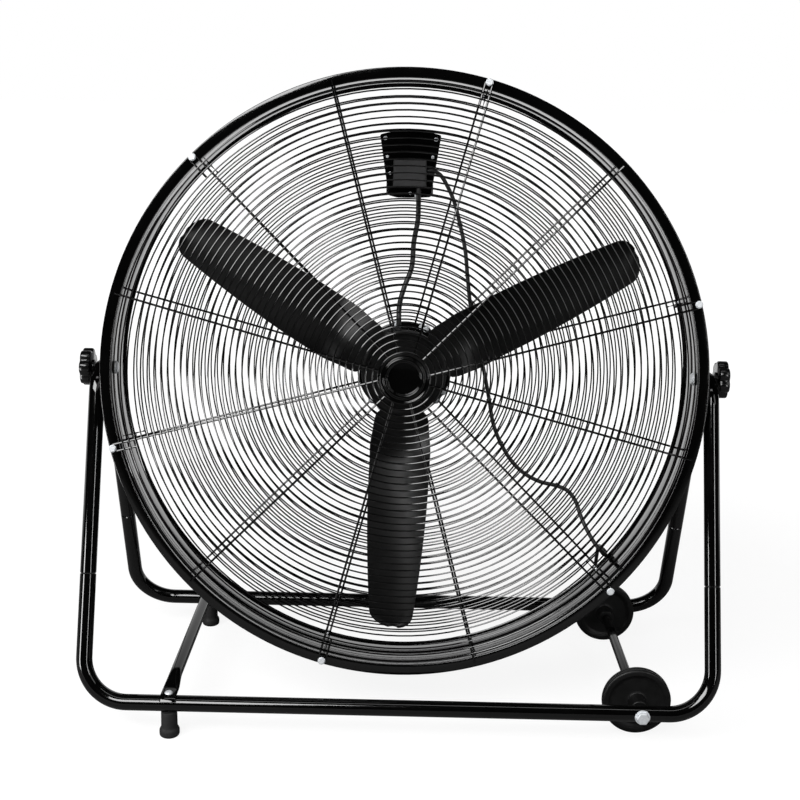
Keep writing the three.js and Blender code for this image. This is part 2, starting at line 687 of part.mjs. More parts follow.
function baseTube(side) {
  const inner = tubeRadius - tubeWall;
  const spigotOuter = inner - clear;
  const spigotInner = spigotOuter - tubeWall;
  const turn = standHalfWidth - baseBend;
  const path = [
    legPoint(-standHalfWidth, jointAlong - spigotStep, side),
    ...bend(-turn, baseBend, baseBend, 180, 270, tubeBendSteps, side),
    ...bend(turn, baseBend, baseBend, 270, 360, tubeBendSteps, side),
    legPoint(standHalfWidth, jointAlong - spigotStep, side),
  ];
  const normal = vec(0, Math.cos(lean), side * Math.sin(lean));
  const stations = tubeStations(path, normal, tubeRadius, inner);
  const cap = (end, x) => {
    const base = stations[end];
    const at = (along, outer, bore) => ({ ...base, centre: legPoint(x, along, side),
      outer: [outer, outer], inner: [bore, bore] });
    return [at(jointAlong - spigotStep, tubeRadius, spigotInner), at(jointAlong, tubeRadius, spigotInner),
      at(jointAlong, spigotOuter, spigotInner), at(jointAlong + spigotLength, spigotOuter, spigotInner)];
  };
  const left = cap(0, -standHalfWidth).reverse();
  const right = cap(stations.length - 1, standHalfWidth);
  const tube = hollowBar([...left, ...stations, ...right], tubeSides, 0.5);
  const y = side * halfDepth;
  const axleHole = rod(axleRadius + clear, y - 20, y + 20, 12).translate(axleX, 0, tubeHeight);
  const boltHole = alongZ(rod(crossBoltRadius + clear, tubeHeight - 20, tubeHeight + 20, 10))
    .translate(crossX, y, 0);
  return cut(tube, axleHole, boltHole);
}

function sideTube(side) {
  const x = side * standHalfWidth;
  const start = jointAlong + clear;
  const tangent = Math.sqrt(reachToCrown ** 2 - crownBend ** 2);
  const path = [legPoint(x, start, -1)];
  const steps = 2 * tubeBendSteps;
  const sweep = 180 - 2 * THREE.MathUtils.radToDeg(lean);
  for (let k = 0; k <= steps; k += 1) {
    const a = rad(90 + sweep / 2 - (sweep * k) / steps);
    path.push(vec(x, crownBend * Math.cos(a), crownCentre + crownBend * Math.sin(a)));
  }
  path.push(legPoint(x, start, 1));
  if (tangent < start) throw new Error('the joint is above the crown bend');
  const tube = hollowBar(tubeStations(path, vec(1, 0, 0), tubeRadius, tubeRadius - tubeWall), tubeSides);
  const hole = alongX(rod(pivotBoltRadius + clear, x - 20, x + 20, 10)).translate(0, 0, pivotHeight);
  return cut(tube, hole);
}

// A round tube whose two ends are pressed flat and lie on the base tubes.
const crossHeight = tubeHeight + tubeRadius + clear + crossFlatHalfHeight;

function crossMember() {
  const end = halfDepth + crossOverhang;
  const flat = end - crossFlatLength;
  const round = flat - crossSwell;
  const slot = [crossFlatHalfWidth - 3, 0.6];
  const inner = crossRadius - crossWall;
  const at = (y, outer, bore, z = crossHeight) => ({
    centre: vec(crossX, y, z), u: vec(1, 0, 0), v: vec(0, 0, 1), outer, inner: bore });
  const flatOuter = [crossFlatHalfWidth, crossFlatHalfHeight];
  const rise = crossRadius - crossFlatHalfHeight;
  const mid = [(crossFlatHalfWidth + crossRadius) / 2, (crossRadius + crossFlatHalfHeight) / 2];
  const midBore = [mid[0] - crossWall, mid[1] - crossWall];
  const stations = [
    at(-end, flatOuter, slot), at(-flat, flatOuter, slot),
    at(-(flat + round) / 2, mid, midBore, crossHeight + rise * 0.3),
    at(-round, [crossRadius, crossRadius], [inner, inner], crossHeight + rise * 0.6),
    at(round, [crossRadius, crossRadius], [inner, inner], crossHeight + rise * 0.6),
    at((flat + round) / 2, mid, midBore, crossHeight + rise * 0.3),
    at(flat, flatOuter, slot), at(end, flatOuter, slot),
  ];
  const holes = [-1, 1].map((side) => alongZ(rod(crossBoltRadius + clear, -20, 20, 10))
    .translate(crossX, side * halfDepth, crossHeight));
  return cut(hollowBar(stations, 12), ...holes);
}

const footTop = tubeHeight - tubeRadius - clear;

function foot(side) {
  const bore = crossBoltRadius + clear;
  const depth = crossBoltDepth + 1;
  const body = turned([[0, 0], [footRadius - 1.5, 0], [footRadius, 2], [footRadius, footFlare],
    [footTopRadius, footFlare + 8], [footTopRadius, footTop], [bore, footTop], [bore, footTop - depth],
    [0, footTop - depth]], 16);
  return alongZ(body).translate(crossX, side * halfDepth, 0);
}

function crossBolt(side) {
  const seat = crossHeight + crossFlatHalfHeight + clear;
  const tip = footTop - crossBoltDepth;
  const bolt = turned([[0, tip], [crossBoltRadius, tip], [crossBoltRadius, seat], [crossBoltHead, seat],
    [crossBoltHead, seat + 1], [crossBoltHead * 0.6, seat + crossBoltHeadHeight],
    [0, seat + crossBoltHeadHeight]], 12);
  return alongZ(bolt).translate(crossX, side * halfDepth, 0);
}

// ---- wheels ----
const tubeInner = halfDepth - tubeRadius - clear;        // inner face that a wheel hub runs against
const tubeOuter = halfDepth + tubeRadius + clear;
const frontWheelY = -(halfDepth - frontWheelInset);
const rearWheelY = halfDepth - rearWheelInset;
const hubLong = tubeInner + frontWheelY;
const hubShort = tubeInner - rearWheelY;

function wheel(y) {
  const bore = axleRadius + clear;
  const h = wheelWidth / 2;
  const web = wheelWeb / 2;
  const tread = 2;
  return turned([[bore, -hubLong], [wheelHubRadius, -hubLong], [wheelHubRadius, -web], [wheelRimRadius, -web],
    [wheelRimRadius + 2, -h + 2], [wheelRimRadius + 4, -h], [wheelRadius - tread, -h], [wheelRadius, -h + tread],
    [wheelRadius, h - tread], [wheelRadius - tread, h], [wheelRimRadius + 4, h], [wheelRimRadius + 2, h - 2],
    [wheelRimRadius, web], [wheelHubRadius, web], [wheelHubRadius, hubShort], [bore, hubShort]], 20)
    .translate(axleX, y, tubeHeight);
}

function axleRod() {
  const head = axleHeadHeight;
  const front = -tubeOuter;
  const back = tubeOuter + clear + axleHeadHeight;
  const shank = rod(axleRadius, front - head / 2, back, 14);
  return join(rod(axleHead, front - head, front, 6), shank).translate(axleX, 0, tubeHeight);
}

const axleNut = () => nut(axleRadius + clear, axleHead, tubeOuter, tubeOuter + axleHeadHeight)
  .translate(axleX, 0, tubeHeight);
const spacerFront = frontWheelY + hubShort + clear;
const spacerRear = rearWheelY - hubLong - clear;
const axleSpacer = () => sleeve(axleRadius + clear, spacerRadius, spacerFront, spacerRear, 14)
  .translate(axleX, 0, tubeHeight);

// ---- tilt pivots, along +X from the drum's centre; the left ones are mirrored ----
const tubeInFace = standHalfWidth - tubeRadius;
const tubeOutFace = standHalfWidth + tubeRadius;
const knobBossFace = tubeOutFace + clear;

function pivotBolt(side) {
  const headFrom = wallInside - clear - pivotBoltHead * Math.tan(Math.PI / drumSides);
  const tip = knobBossFace + knobBore - 1;
  const bolt = turned([[0, headFrom - pivotBoltHeadHeight],
    [pivotBoltHead * 0.7, headFrom - pivotBoltHeadHeight], [pivotBoltHead, headFrom - 1.5],
    [pivotBoltHead, headFrom], [pivotBoltRadius, headFrom], [pivotBoltRadius, tip], [0, tip]], 14);
  return onSide(alongX(bolt), side);
}

function pivotWasher(side) {
  const washer = sleeve(pivotBoltRadius + clear, pivotWasherRadius, drumWallRadius + clear, tubeInFace - clear, 16);
  return onSide(alongX(washer), side);
}

function tiltKnob(side) {
  const outline = new THREE.Shape();
  const steps = knobLobes * 6;
  for (let k = 0; k < steps; k += 1) {
    const a = (2 * Math.PI * k) / steps;
    const r = knobRadius - knobLobeDepth * (0.5 - 0.5 * Math.cos(knobLobes * a)) ** 2;
    if (k === 0) outline.moveTo(r, 0);
    else outline.lineTo(r * Math.cos(a), r * Math.sin(a));
  }
  outline.closePath();
  const from = knobBossFace + knobBossLength;
  const body = plate(outline, from, from + knobWidth);
  const boss = rod(knobBossRadius, knobBossFace, from + 2, 14);
  const bore = rod(pivotBoltRadius + clear, knobBossFace - 1, knobBossFace + knobBore, 10);
  return onSide(alongX(cut(join(body, boss), bore)), side);
}

// ---- loose lead, in world millimetres ----
const drumTurn = new THREE.Matrix4().makeRotationX(-rad(tiltBack)).setPosition(0, 0, pivotHeight);
const glandEnd = vec(glandX, glandFront + glandLength + clear, glandZ).applyMatrix4(drumTurn);
const axisBack = vec(0, 1, 0).transformDirection(drumTurn);
const mainsRadius = mainsDiameter / 2;
const floorRun = mainsRadius;
const coilStartRadius = coilRadius + (coilTurnsDown * coilPitch) / 2;
const coilX = dropX + coilStartRadius;
const coilLead = mainsDiameter;                          // straight run into the first turn

// From the gland the lead bows out behind the stand and comes down to the floor.
const dropPoints = [
  glandEnd, glandEnd.clone().addScaledVector(axisBack, 13), vec(354, 92, 220), vec(356, 115, 208.5),
  vec(358.5, 135, 194), vec(360.5, 153, 177), vec(362.5, 171, 156.5), vec(364, 187, 135), vec(365.3, 200, 115),
  vec(366.3, 211, 98), vec(dropX, 221, 80), vec(dropX, 229, 64), vec(dropX, 236.5, 49.5), vec(dropX, 244, 35),
  vec(dropX, 251.7, 20.8), vec(dropX, 260.5, 9.9), vec(dropX, 271, 4.6),
  vec(dropX, coilY - coilLead - 4, floorRun), vec(dropX, coilY - coilLead - clear, floorRun),
];
const cordDrop = () => cord(new THREE.CatmullRomCurve3(dropPoints, false, 'centripetal'), mainsRadius, 24, 8);

const layerHeight = mainsDiameter + 0.6;
const coilTurns = coilTurnsDown + coilTurnsUp;
const coilTop = floorRun + layerHeight + mainsRadius;
const plugHeight = coilTop + clear + plugRadius;

// The coil winds in on the floor, climbs, winds out on top, and rises to the plug that lies on it.
function coilPoint(turn) {
  const winding = Math.min(turn, coilTurns);
  const down = Math.min(winding, coilTurnsDown);
  const up = Math.max(winding - coilTurnsDown, 0);
  const ending = THREE.MathUtils.smoothstep(turn, coilTurns, coilTurns + coilRise);
  const drawn = coilDraw * THREE.MathUtils.smoothstep(turn, coilTurns + coilRise / 2, coilTurns + coilRise);
  const r = coilStartRadius - coilPitch * down + coilPitch * up - drawn;
  const climb = THREE.MathUtils.smoothstep(turn, coilTurnsDown - 0.25, coilTurnsDown + 0.25);
  const a = Math.PI - 2 * Math.PI * turn;
  const layers = floorRun + layerHeight * climb;
  return vec(coilX + r * Math.cos(a), coilY + r * Math.sin(a), layers + (plugHeight - layers) * ending);
}

const coilStations = Math.round((coilTurns + coilRise) * coilSteps);
const coilPoints = Array.from({ length: coilStations + 1 }, (_, k) => coilPoint(k / coilSteps));
const heading = coilPoints[coilStations].clone().sub(coilPoints[coilStations - 1]).setZ(0).normalize();
coilPoints.unshift(vec(dropX, coilY - coilLead, floorRun));
coilPoints.push(coilPoints[coilPoints.length - 1].clone().addScaledVector(heading, coilLead));
const coilEnd = coilPoints[coilPoints.length - 1];

function cordCoil() {
  const curve = new THREE.CatmullRomCurve3(coilPoints, false, 'centripetal');
  return cord(curve, mainsRadius, coilStations + 2, coilSides);
}

// The least gap between stretches of the coil that are more than a few diameters apart along it.
function coilLeastGap() {
  const curve = new THREE.CatmullRomCurve3(coilPoints, false, 'centripetal');
  const count = 700;
  const points = curve.getSpacedPoints(count);
  const skip = Math.ceil((4 * mainsDiameter * count) / curve.getLength());
  let least = Infinity;
  for (let i = 0; i < points.length; i += 1) {
    for (let j = i + skip; j < points.length; j += 1) least = Math.min(least, points[i].distanceTo(points[j]));
  }
  return least - mainsDiameter;
}

// A two-pin plug lying on the coil, along it.
function plug() {
  const neck = mainsRadius + 2;
  const body = turned([[0, clear], [neck, clear], [plugRadius - 3, 9], [plugRadius, 13],
    [plugRadius, plugLength], [0, plugLength]], 20);
  const pins = [-1, 1].map((side) => rod(pinRadius, plugLength - 3, plugLength + pinLength, 8)
    .translate(0, 0, (side * pinSpacing) / 2));
  return alongX(join(body, ...pins)).rotateX(Math.PI / 2).rotateZ(Math.atan2(heading.y, heading.x))
    .translate(coilEnd.x, coilEnd.y, coilEnd.z);
}

// ---- assembly ----
const fan = new THREE.Group();
const drum = new THREE.Group();
drum.rotation.x = -rad(tiltBack);
drum.position.z = pivotHeight;
const rotor = new THREE.Group();
const stand = new THREE.Group();
const looseLead = new THREE.Group();
drum.add(rotor);
fan.add(drum, stand, looseLead);

function piece(parent, name, geometry, material) {
  const mesh = new THREE.Mesh(geometry, material);
  mesh.name = name;
  parent.add(mesh);
}

piece(drum, 'drum_shell', drumShell(), glossBlack());
piece(drum, 'front_guard', guard(true), glossBlack());
piece(drum, 'rear_guard', guard(false), glossBlack());
piece(drum, 'guard_badge', guardBadge(), plasticBlack());
screwAngles.forEach((angle, i) => {
  piece(drum, `front_guard_screw_${i + 1}`, guardScrew(true, angle), zinc());
  piece(drum, `rear_guard_screw_${i + 1}`, guardScrew(false, angle), zinc());
});
piece(drum, 'motor_front_cover', motorFrontCover(), satinBlack());
piece(drum, 'motor_rear_cover', motorRearCover(), satinBlack());
piece(drum, 'motor_stator', stator(), copper());
piece(drum, 'front_bearing', bearing(frontSeat + clear), steelGrey());
piece(drum, 'rear_bearing', bearing(rearSeat - clear - bearingWidth), steelGrey());
piece(drum, 'motor_mount_plate', mountPlate(), glossBlack());
piece(drum, 'switch_plate', switchPlate(), glossBlack());
piece(drum, 'terminal_cover', terminalCover(), plasticBlack());
piece(drum, 'switch_housing', switchHousing(), plasticBlack());
piece(drum, 'run_capacitor', runCapacitor(), plasticBlack());
piece(drum, 'speed_knob', speedKnob(), plasticBlack());
piece(drum, 'motor_lead', motorLead(), pvcBlack());
piece(drum, 'mains_lead', mainsLead(), pvcBlack());
piece(drum, 'cord_gland', cordGland(), rubberBlack());

piece(rotor, 'motor_shaft', motorShaft(), steelGrey());
piece(rotor, 'rotor_core', rotorCore(), steelGrey());
piece(rotor, 'blade_hub', bladeHub(), satinBlack());
piece(rotor, 'hub_nut', hubNut(), zinc());
for (let i = 0; i < bladeCount; i += 1) piece(rotor, `blade_${i + 1}`, blade(i), satinBlack());

for (const [side, name] of [[-1, 'left'], [1, 'right']]) {
  piece(drum, `${name}_pivot_bolt`, pivotBolt(side), zinc());
  piece(drum, `${name}_pivot_washer`, pivotWasher(side), plasticBlack());
  piece(drum, `${name}_tilt_knob`, tiltKnob(side), plasticBlack());
  piece(stand, `${name}_side_tube`, sideTube(side), glossBlack());
}
for (const [side, name] of [[-1, 'front'], [1, 'rear']]) {
  piece(stand, `${name}_base_tube`, baseTube(side), glossBlack());
  piece(stand, `${name}_cross_bolt`, crossBolt(side), zinc());
  piece(stand, `${name}_foot`, foot(side), rubberBlack());
}
piece(stand, 'cross_member', crossMember(), glossBlack());
piece(stand, 'axle_rod', axleRod(), zinc());
piece(stand, 'axle_nut', axleNut(), zinc());
piece(stand, 'axle_spacer', axleSpacer(), steelGrey());
piece(stand, 'front_wheel', wheel(frontWheelY), rubberBlack());
piece(stand, 'rear_wheel', wheel(rearWheelY), rubberBlack());
piece(looseLead, 'cord_drop', cordDrop(), pvcBlack());
piece(looseLead, 'cord_coil', cordCoil(), pvcBlack());
piece(looseLead, 'plug', plug(), rubberBlack());

console.log(`least gap in the coil: ${coilLeastGap().toFixed(2)} mm`);

export default fan;
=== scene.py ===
"""A drum fan on a tilting tubular stand, dressed and lit as a product picture.

Metres, +Z up, the fan blows towards -Y. Sizes below are in millimetres, and the studio's in metres.
The drum's own frame is (right, back along its axis, up) from its centre, and DRUM puts it in place on
the stand.
"""
import math

import bmesh
import bpy
from mathutils import Matrix, Vector


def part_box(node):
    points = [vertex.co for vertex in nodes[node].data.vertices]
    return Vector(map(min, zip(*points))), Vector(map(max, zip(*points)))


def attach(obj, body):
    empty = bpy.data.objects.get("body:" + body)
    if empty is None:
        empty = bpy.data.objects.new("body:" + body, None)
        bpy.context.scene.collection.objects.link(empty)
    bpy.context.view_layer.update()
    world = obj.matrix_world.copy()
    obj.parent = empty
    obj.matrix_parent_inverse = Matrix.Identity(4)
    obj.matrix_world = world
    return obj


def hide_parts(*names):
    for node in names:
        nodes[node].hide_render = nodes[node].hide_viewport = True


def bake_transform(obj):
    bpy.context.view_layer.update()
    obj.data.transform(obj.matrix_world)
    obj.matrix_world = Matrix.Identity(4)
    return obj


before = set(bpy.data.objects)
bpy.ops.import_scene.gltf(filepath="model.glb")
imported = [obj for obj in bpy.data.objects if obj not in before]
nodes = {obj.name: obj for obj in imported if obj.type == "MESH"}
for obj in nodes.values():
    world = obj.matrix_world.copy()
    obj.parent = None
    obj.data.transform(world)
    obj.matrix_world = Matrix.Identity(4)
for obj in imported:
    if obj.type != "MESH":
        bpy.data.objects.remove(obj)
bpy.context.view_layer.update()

MM = 0.001
TAU = 2 * math.pi
WELD = 1e-7                                           # metres; points nearer than this are one
IN_PLACE = Matrix.Identity(4)
UP = Vector((0, 0, 1))
ACROSS = Vector((1, 0, 0))
BACK = Vector((0, 1, 0))
UPRIGHT = Matrix.Rotation(math.pi / 2, 4, "X")        # a piece turned about Y stands on Z
SIDEWAYS = Matrix.Rotation(-math.pi / 2, 4, "Z")      # a piece turned about Y lies on X
OVER = Matrix.Rotation(math.pi, 4, "X")               # front to back, upside down
ROUND = Matrix.Rotation(math.pi, 4, "Z")              # front to back, left to right
SHARP = math.radians(35)                              # an edge from here on stays sharp

# Where two ends or two sides differ, -1 is the front or the left, and 1 the rear or the right.
END = {-1: "front", 1: "rear"}
SIDE = {-1: "left", 1: "right"}

# ---- the drum ----
TILT = math.radians(8.5)
PIVOT_HEIGHT = 550
DRUM = Matrix.Translation((0, 0, PIVOT_HEIGHT * MM)) @ Matrix.Rotation(-TILT, 4, "X")
RIM_RADIUS = 485
WALL_RADIUS = 482
SHEET = 2
HALF_DEPTH = 80
RIM_BAND = 7
FRONT_LIP = 17
REAR_LIP = 8
HEM = 3.6                       # the front lip's edge is folded back on itself
BEAD_PLACE = 25                 # stiffening beads either side of the middle
BEAD_HALF = 7
BEAD_HEIGHT = 2.5

# ---- the guards ----
CLEAR = 0.3
RING_WIRE = 1.25                # radii of the wires
RIB_WIRE = 1.75
RING_SINK = 0.6                 # how far a ring is welded into a rib
RING_COUNT = 39
RING_PITCH = {-1: 10.83, 1: 10.57}
GUARD_EDGE = 461
GUARD_DOME = 21
GUARD_SEAT = HALF_DEPTH + CLEAR
GUARD_THICK = 3.4               # the ribs, as other pieces leave room for them
RIB_FIRST = 15                  # degrees above +X
RIB_EYE = 30
PLAIN_RIB_END = 477
HAIRPIN = {-1: 5.7, 1: -3.6}    # half the width of a hairpin, on the side that its long wire runs
HAIRPIN_PLAY = 2.5              # how far its loop reaches past the screw's middle
HAIRPIN_RETURN = {-1: 36, 1: 18}                      # how far its short wire comes back from the loop
HAIRPIN_FOOT = 6                # the last stretch of that wire
SCREW_RADIUS = {-1: 479, 1: 481}
SCREW_HEAD = {-1: 5.6, 1: 4.0}  # radius
SCREW_SEAT = 84
EYE_RADIUS = 38

# ---- the stand ----
TUBE = 12.7
TUBE_HEIGHT = 55
HALF_STAND = 210
HALF_WIDTH = 498.5
BASE_BEND = 70
CROWN_BEND = 50
JOINT_HEIGHT = 244
CROWN_CENTRE = PIVOT_HEIGHT - CROWN_BEND
REACH = math.hypot(HALF_STAND, CROWN_CENTRE - TUBE_HEIGHT)
LEAN = math.atan2(HALF_STAND, CROWN_CENTRE - TUBE_HEIGHT) - math.asin(CROWN_BEND / REACH)
JOINT_ALONG = (JOINT_HEIGHT - TUBE_HEIGHT) / math.cos(LEAN)
CROSS_X = -361
CROSS_TUBE = 10                 # its radius
PRESSED_HALF = 13               # half the width and half the thickness of its pressed ends
PRESSED_SHEET = 2
WRAP_FROM = 32                  # degrees up the base tube, where a pressed end begins
AXLE_X = 385
BORE = 6.3                      # radius of what runs on the axle, and of the hub on the shaft
FRONT_WHEEL_Y = -165
REAR_WHEEL_Y = 182


# ---- shapes ----
def piece_from(name, points, faces, edges=()):
    """A new object of points in millimetres."""
    mesh = bpy.data.meshes.new(name)
    mesh.from_pydata([Vector(p) * MM for p in points], list(edges), list(faces))
    made = bpy.data.objects.new(name, mesh)
    bpy.context.scene.collection.objects.link(made)
    return made


def shaded(made, work):
    """Gives an object the worked mesh, smooth but for its edges."""
    work.to_mesh(made.data)
    work.free()
    made.data.shade_smooth()
    made.data.set_sharp_from_angle(angle=SHARP)
    return made


def solid(name, points, faces):
    """A closed piece with its faces outwards."""
    made = piece_from(name, points, faces)
    work = bmesh.new()
    work.from_mesh(made.data)
    bmesh.ops.remove_doubles(work, verts=work.verts, dist=WELD)
    bmesh.ops.recalc_face_normals(work, faces=work.faces)
    return shaded(made, work)


def keep_result(made):
    """Turns an object's modifiers into its plain mesh."""
    graph = bpy.context.evaluated_depsgraph_get()
    mesh = bpy.data.meshes.new_from_object(made.evaluated_get(graph))
    made.modifiers.clear()
    made.data = mesh
    return made


def soften(made, width, segments=3):
    """Rounds the edges, as pressed and moulded pieces have them."""
    bevel = made.modifiers.new("edges", "BEVEL")
    bevel.width = width * MM
    bevel.segments = segments
    bevel.limit_method = "ANGLE"
    bevel.angle_limit = math.radians(40)
    bevel.harden_normals = True
    return keep_result(made)


def joined(name, *parts):
    """Several objects as one."""
    work = bmesh.new()
    for part in parts:
        work.from_mesh(part.data)
        bpy.data.objects.remove(part)
    return shaded(piece_from(name, [], []), work)


def moved(made, place):
    """Moves an object's mesh."""
    made.data.transform(place)
    return made


def shift(x, y, z):
    """A move in millimetres."""
    return Matrix.Translation(Vector((x, y, z)) * MM)


def band(inner, outer, near, far):
    """The outline of a plain ring or disc, between two radii and two places along Y."""
    return [(inner, near), (outer, near), (outer, far), (inner, far)]


def rounded(outline, radius, steps=4):
    """The same closed outline with its corners rounded; points on the axis of a turned piece stay."""
    out = []
    for i, corner in enumerate(outline):
        here = Vector(corner)
        before = Vector(outline[i - 1]) - here
        after = Vector(outline[(i + 1) % len(outline)]) - here
        if corner[0] == 0:
            out.append(tuple(here))
            continue
        start = here + before.normalized() * min(radius, before.length * 0.45)
        end = here + after.normalized() * min(radius, after.length * 0.45)
        for k in range(steps + 1):
            t = k / steps
            out.append(tuple(start * (1 - t) ** 2 + here * 2 * t * (1 - t) + end * t ** 2))
    return out


def turned(name, profile, sides=96):
    """A closed outline of (radius, place along Y), turned about the Y axis."""
    points, rings = [], []
    for radius, along in profile:
        count = sides if radius > 0 else 1
        rings.append([len(points) + k % count for k in range(sides)])
        for k in range(count):
            angle = TAU * k / sides
            points.append((radius * math.cos(angle), along, radius * math.sin(angle)))
    faces = []
    for near, far in zip(rings, rings[1:] + rings[:1]):
        for k in range(sides):
            ahead = (k + 1) % sides
            face = tuple(dict.fromkeys((near[k], near[ahead], far[ahead], far[k])))
            if len(face) > 2:
                faces.append(face)
    return solid(name, points, faces)


def skinned(name, points, sides):
    """A skin through rows of points, closed at both ends."""
    last = len(points) - sides
    faces = [tuple(range(sides)), tuple(range(last, len(points)))]
    for row in range(0, last, sides):
        for k in range(sides):
            near, ahead = row + k, row + (k + 1) % sides
            faces.append((near, ahead, ahead + sides, near + sides))
    return solid(name, points, faces)


def lofted(name, stations, sides=24):
    """A skin through ovals, each of (centre, across, up, half width, half height)."""
    angles = [TAU * k / sides for k in range(sides)]
    return skinned(name, [centre + across * (wide * math.cos(a)) + up * (high * math.sin(a))
                          for centre, across, up, wide, high in stations for a in angles], sides)


def tube(name, path, radius, sides=24):
    """A round bar along a path; radius is one number, or one for each point."""
    path = [Vector(p) for p in path]
    radii = radius if isinstance(radius, list) else [radius] * len(path)
    up = (path[1] - path[0]).orthogonal().normalized()
    stations = []
    for i, here in enumerate(path):
        ahead = (path[min(i + 1, len(path) - 1)] - path[max(i - 1, 0)]).normalized()
        up = (up - ahead * up.dot(ahead)).normalized()
        stations.append((here, up.cross(ahead), up, radii[i], radii[i]))
    return lofted(name, stations, sides)


def slab(name, outline, near, far):
    """A flat outline of (x, z), thickened along Y."""
    count = len(outline)
    points = [(x, near, z) for x, z in outline] + [(x, far, z) for x, z in outline]
    faces = [tuple(range(count)), tuple(range(count, 2 * count))]
    faces += [(k, (k + 1) % count, count + (k + 1) % count, count + k) for k in range(count)]
    return solid(name, points, faces)


def box(name, centre, size):
    """A block, as an outline in X and Z thickened along Y."""
    (x, y, z), (wide, deep, high) = centre, size
    outline = band(x - wide / 2, x + wide / 2, z - high / 2, z + high / 2)
    return slab(name, outline, y - deep / 2, y + deep / 2)


def arc(centre, first, second, radius, start, end, steps):
    """Points on an arc in the plane of two directions; angles in degrees."""
    angles = [math.radians(start + (end - start) * k / steps) for k in range(steps + 1)]
    return [centre + first * (radius * math.cos(a)) + second * (radius * math.sin(a)) for a in angles]


def flowing(points, steps=10):
    """A centripetal Catmull-Rom curve through points."""
    p = [Vector(q) for q in points]
    p = [p[0] * 2 - p[1]] + p + [p[-1] * 2 - p[-2]]
    out = []
    for a, b, c, d in zip(p, p[1:], p[2:], p[3:]):
        before, here, after = [math.sqrt((q - r).length) for q, r in ((b, a), (c, b), (d, c))]
        leave = ((b - a) / before - (c - a) / (before + here) + (c - b) / here) * here
        arrive = ((c - b) / here - (d - b) / (here + after) + (d - c) / after) * here
        for k in range(steps):
            t = k / steps
            out.append(b * (2 * t ** 3 - 3 * t ** 2 + 1) + leave * (t ** 3 - 2 * t ** 2 + t)
                       + c * (3 * t ** 2 - 2 * t ** 3) + arrive * (t ** 3 - t ** 2))
    return out + [p[-2]]


def ease(value, low, high):
    """A smooth step from 0 at low to 1 at high."""
    t = min(max((value - low) / (high - low), 0), 1)
    return t * t * (3 - 2 * t)


# ---- nodes ----
def feed(tree, node, sockets):
    """Gives each named socket of a node its value, or a link from another node."""
    for name, value in sockets.items():
        if isinstance(value, bpy.types.Node):
            value = value.outputs[0]
        if isinstance(value, bpy.types.NodeSocket):
            tree.links.new(value, node.inputs[name])
        else:
            node.inputs[name].default_value = value
    return node


def add(tree, kind, sockets=None, **settings):
    """Adds a node to a tree, with its settings, and a value or a link for each socket."""
    made = tree.nodes.new(kind)
    for name, value in settings.items():
        setattr(made, name, value)
    return feed(tree, made, sockets or {})


def colour(text, alpha=1.0):
    """An sRGB hex value as linear colour."""
    parts = [int(text[i:i + 2], 16) / 255 for i in (0, 2, 4)]
    return [c / 12.92 if c <= 0.04045 else ((c + 0.055) / 1.055) ** 2.4 for c in parts] + [alpha]


def blotches(tree, place, size, low, high, detail=3.0):
    """A soft uneven value from low to high, with spots of a size in millimetres."""
    noise = add(tree, "ShaderNodeTexNoise", {"Vector": place, "Scale": 1 / (size * MM), "Detail": detail})
    return add(tree, "ShaderNodeMapRange", {
        "Value": noise.outputs[0], "From Min": 0.3, "From Max": 0.7, "To Min": low, "To Max": high})


# ---- finishes ----
FINISH = {}                     # the materials made here, by name


def surface_of(tree, place, kind, size, detail):
    """The height of a surface of spots, moulded cells, tool marks or stacked sheets; size in millimetres."""
    if kind == "spots":
        return blotches(tree, place, size, 0, 1, detail).outputs[0]
    if kind == "cells":
        return add(tree, "ShaderNodeTexVoronoi", {"Vector": place, "Scale": 1 / (size * MM)}).outputs[0]
    if kind == "marks":
        return add(tree, "ShaderNodeTexNoise", {
            "Vector": place, "Scale": 1 / (size * MM), "Detail": detail}).outputs[0]
    # A wave of this scale has its bands nearly twice the size apart.
    return add(tree, "ShaderNodeTexWave", {"Vector": place, "Scale": 1 / (TAU * size * MM)},
               bands_direction="Y").outputs[1]


def finish(name, dark, pale, spread, roughness, patch, *reliefs, **values):
    """Makes a material.

    Its colour drifts from dark to pale over a spread, and its roughness over a patch, in millimetres. Each
    relief is a kind, a size, a detail and a depth. Where the spread is 0, the relief gives the colour too.
    """
    material = FINISH[name] = bpy.data.materials.new(name + "_finish")
    material.use_nodes = True
    tree = material.node_tree
    place = add(tree, "ShaderNodeTexCoord").outputs["Object"]
    bump = None
    for kind, size, detail, depth in reliefs:
        height = surface_of(tree, place, kind, size, detail)
        sockets = {"Height": height, "Distance": depth * MM, "Strength": 1.0}
        bump = add(tree, "ShaderNodeBump", {**sockets, "Normal": bump} if bump else sockets)
    drift = blotches(tree, place, spread, 0, 1) if spread else height
    tint = add(tree, "ShaderNodeMix", {0: drift, 6: colour(dark), 7: colour(pale)}, data_type="RGBA")
    shine = blotches(tree, place, patch, *roughness)
    feed(tree, tree.nodes["Principled BSDF"], {
        "Base Color": tint.outputs[2], "Roughness": shine, "Normal": bump, **values})


# The grains, tool marks and sheets of the real surfaces are some tenths of a millimetre apart. They are
# drawn two to four times as coarse here, as they have to be to show.

# Gloss black enamel, sprayed and baked on steel: deep black, a hard shine, orange peel about 3 mm apart.
finish("black_enamel", "030303", "060606", 60, (0.05, 0.1), 35,
       ("spots", 16, 2.0, 0.02), ("spots", 3, 1.0, 0.004), IOR=1.62)
# Satin black paint on pressed sheet: a softer, wider shine and a fine grain of overspray.
finish("black_fan_paint", "040404", "080808", 45, (0.3, 0.4), 30, ("spots", 0.9, 2.0, 0.015), IOR=1.36)
# Moulded nylon, out of a polished mould: near black, hardly any grain, a wet shine.
finish("black_plastic", "070707", "0C0C0C", 20, (0.14, 0.22), 9, ("cells", 0.8, 0, 0.012), IOR=1.53)
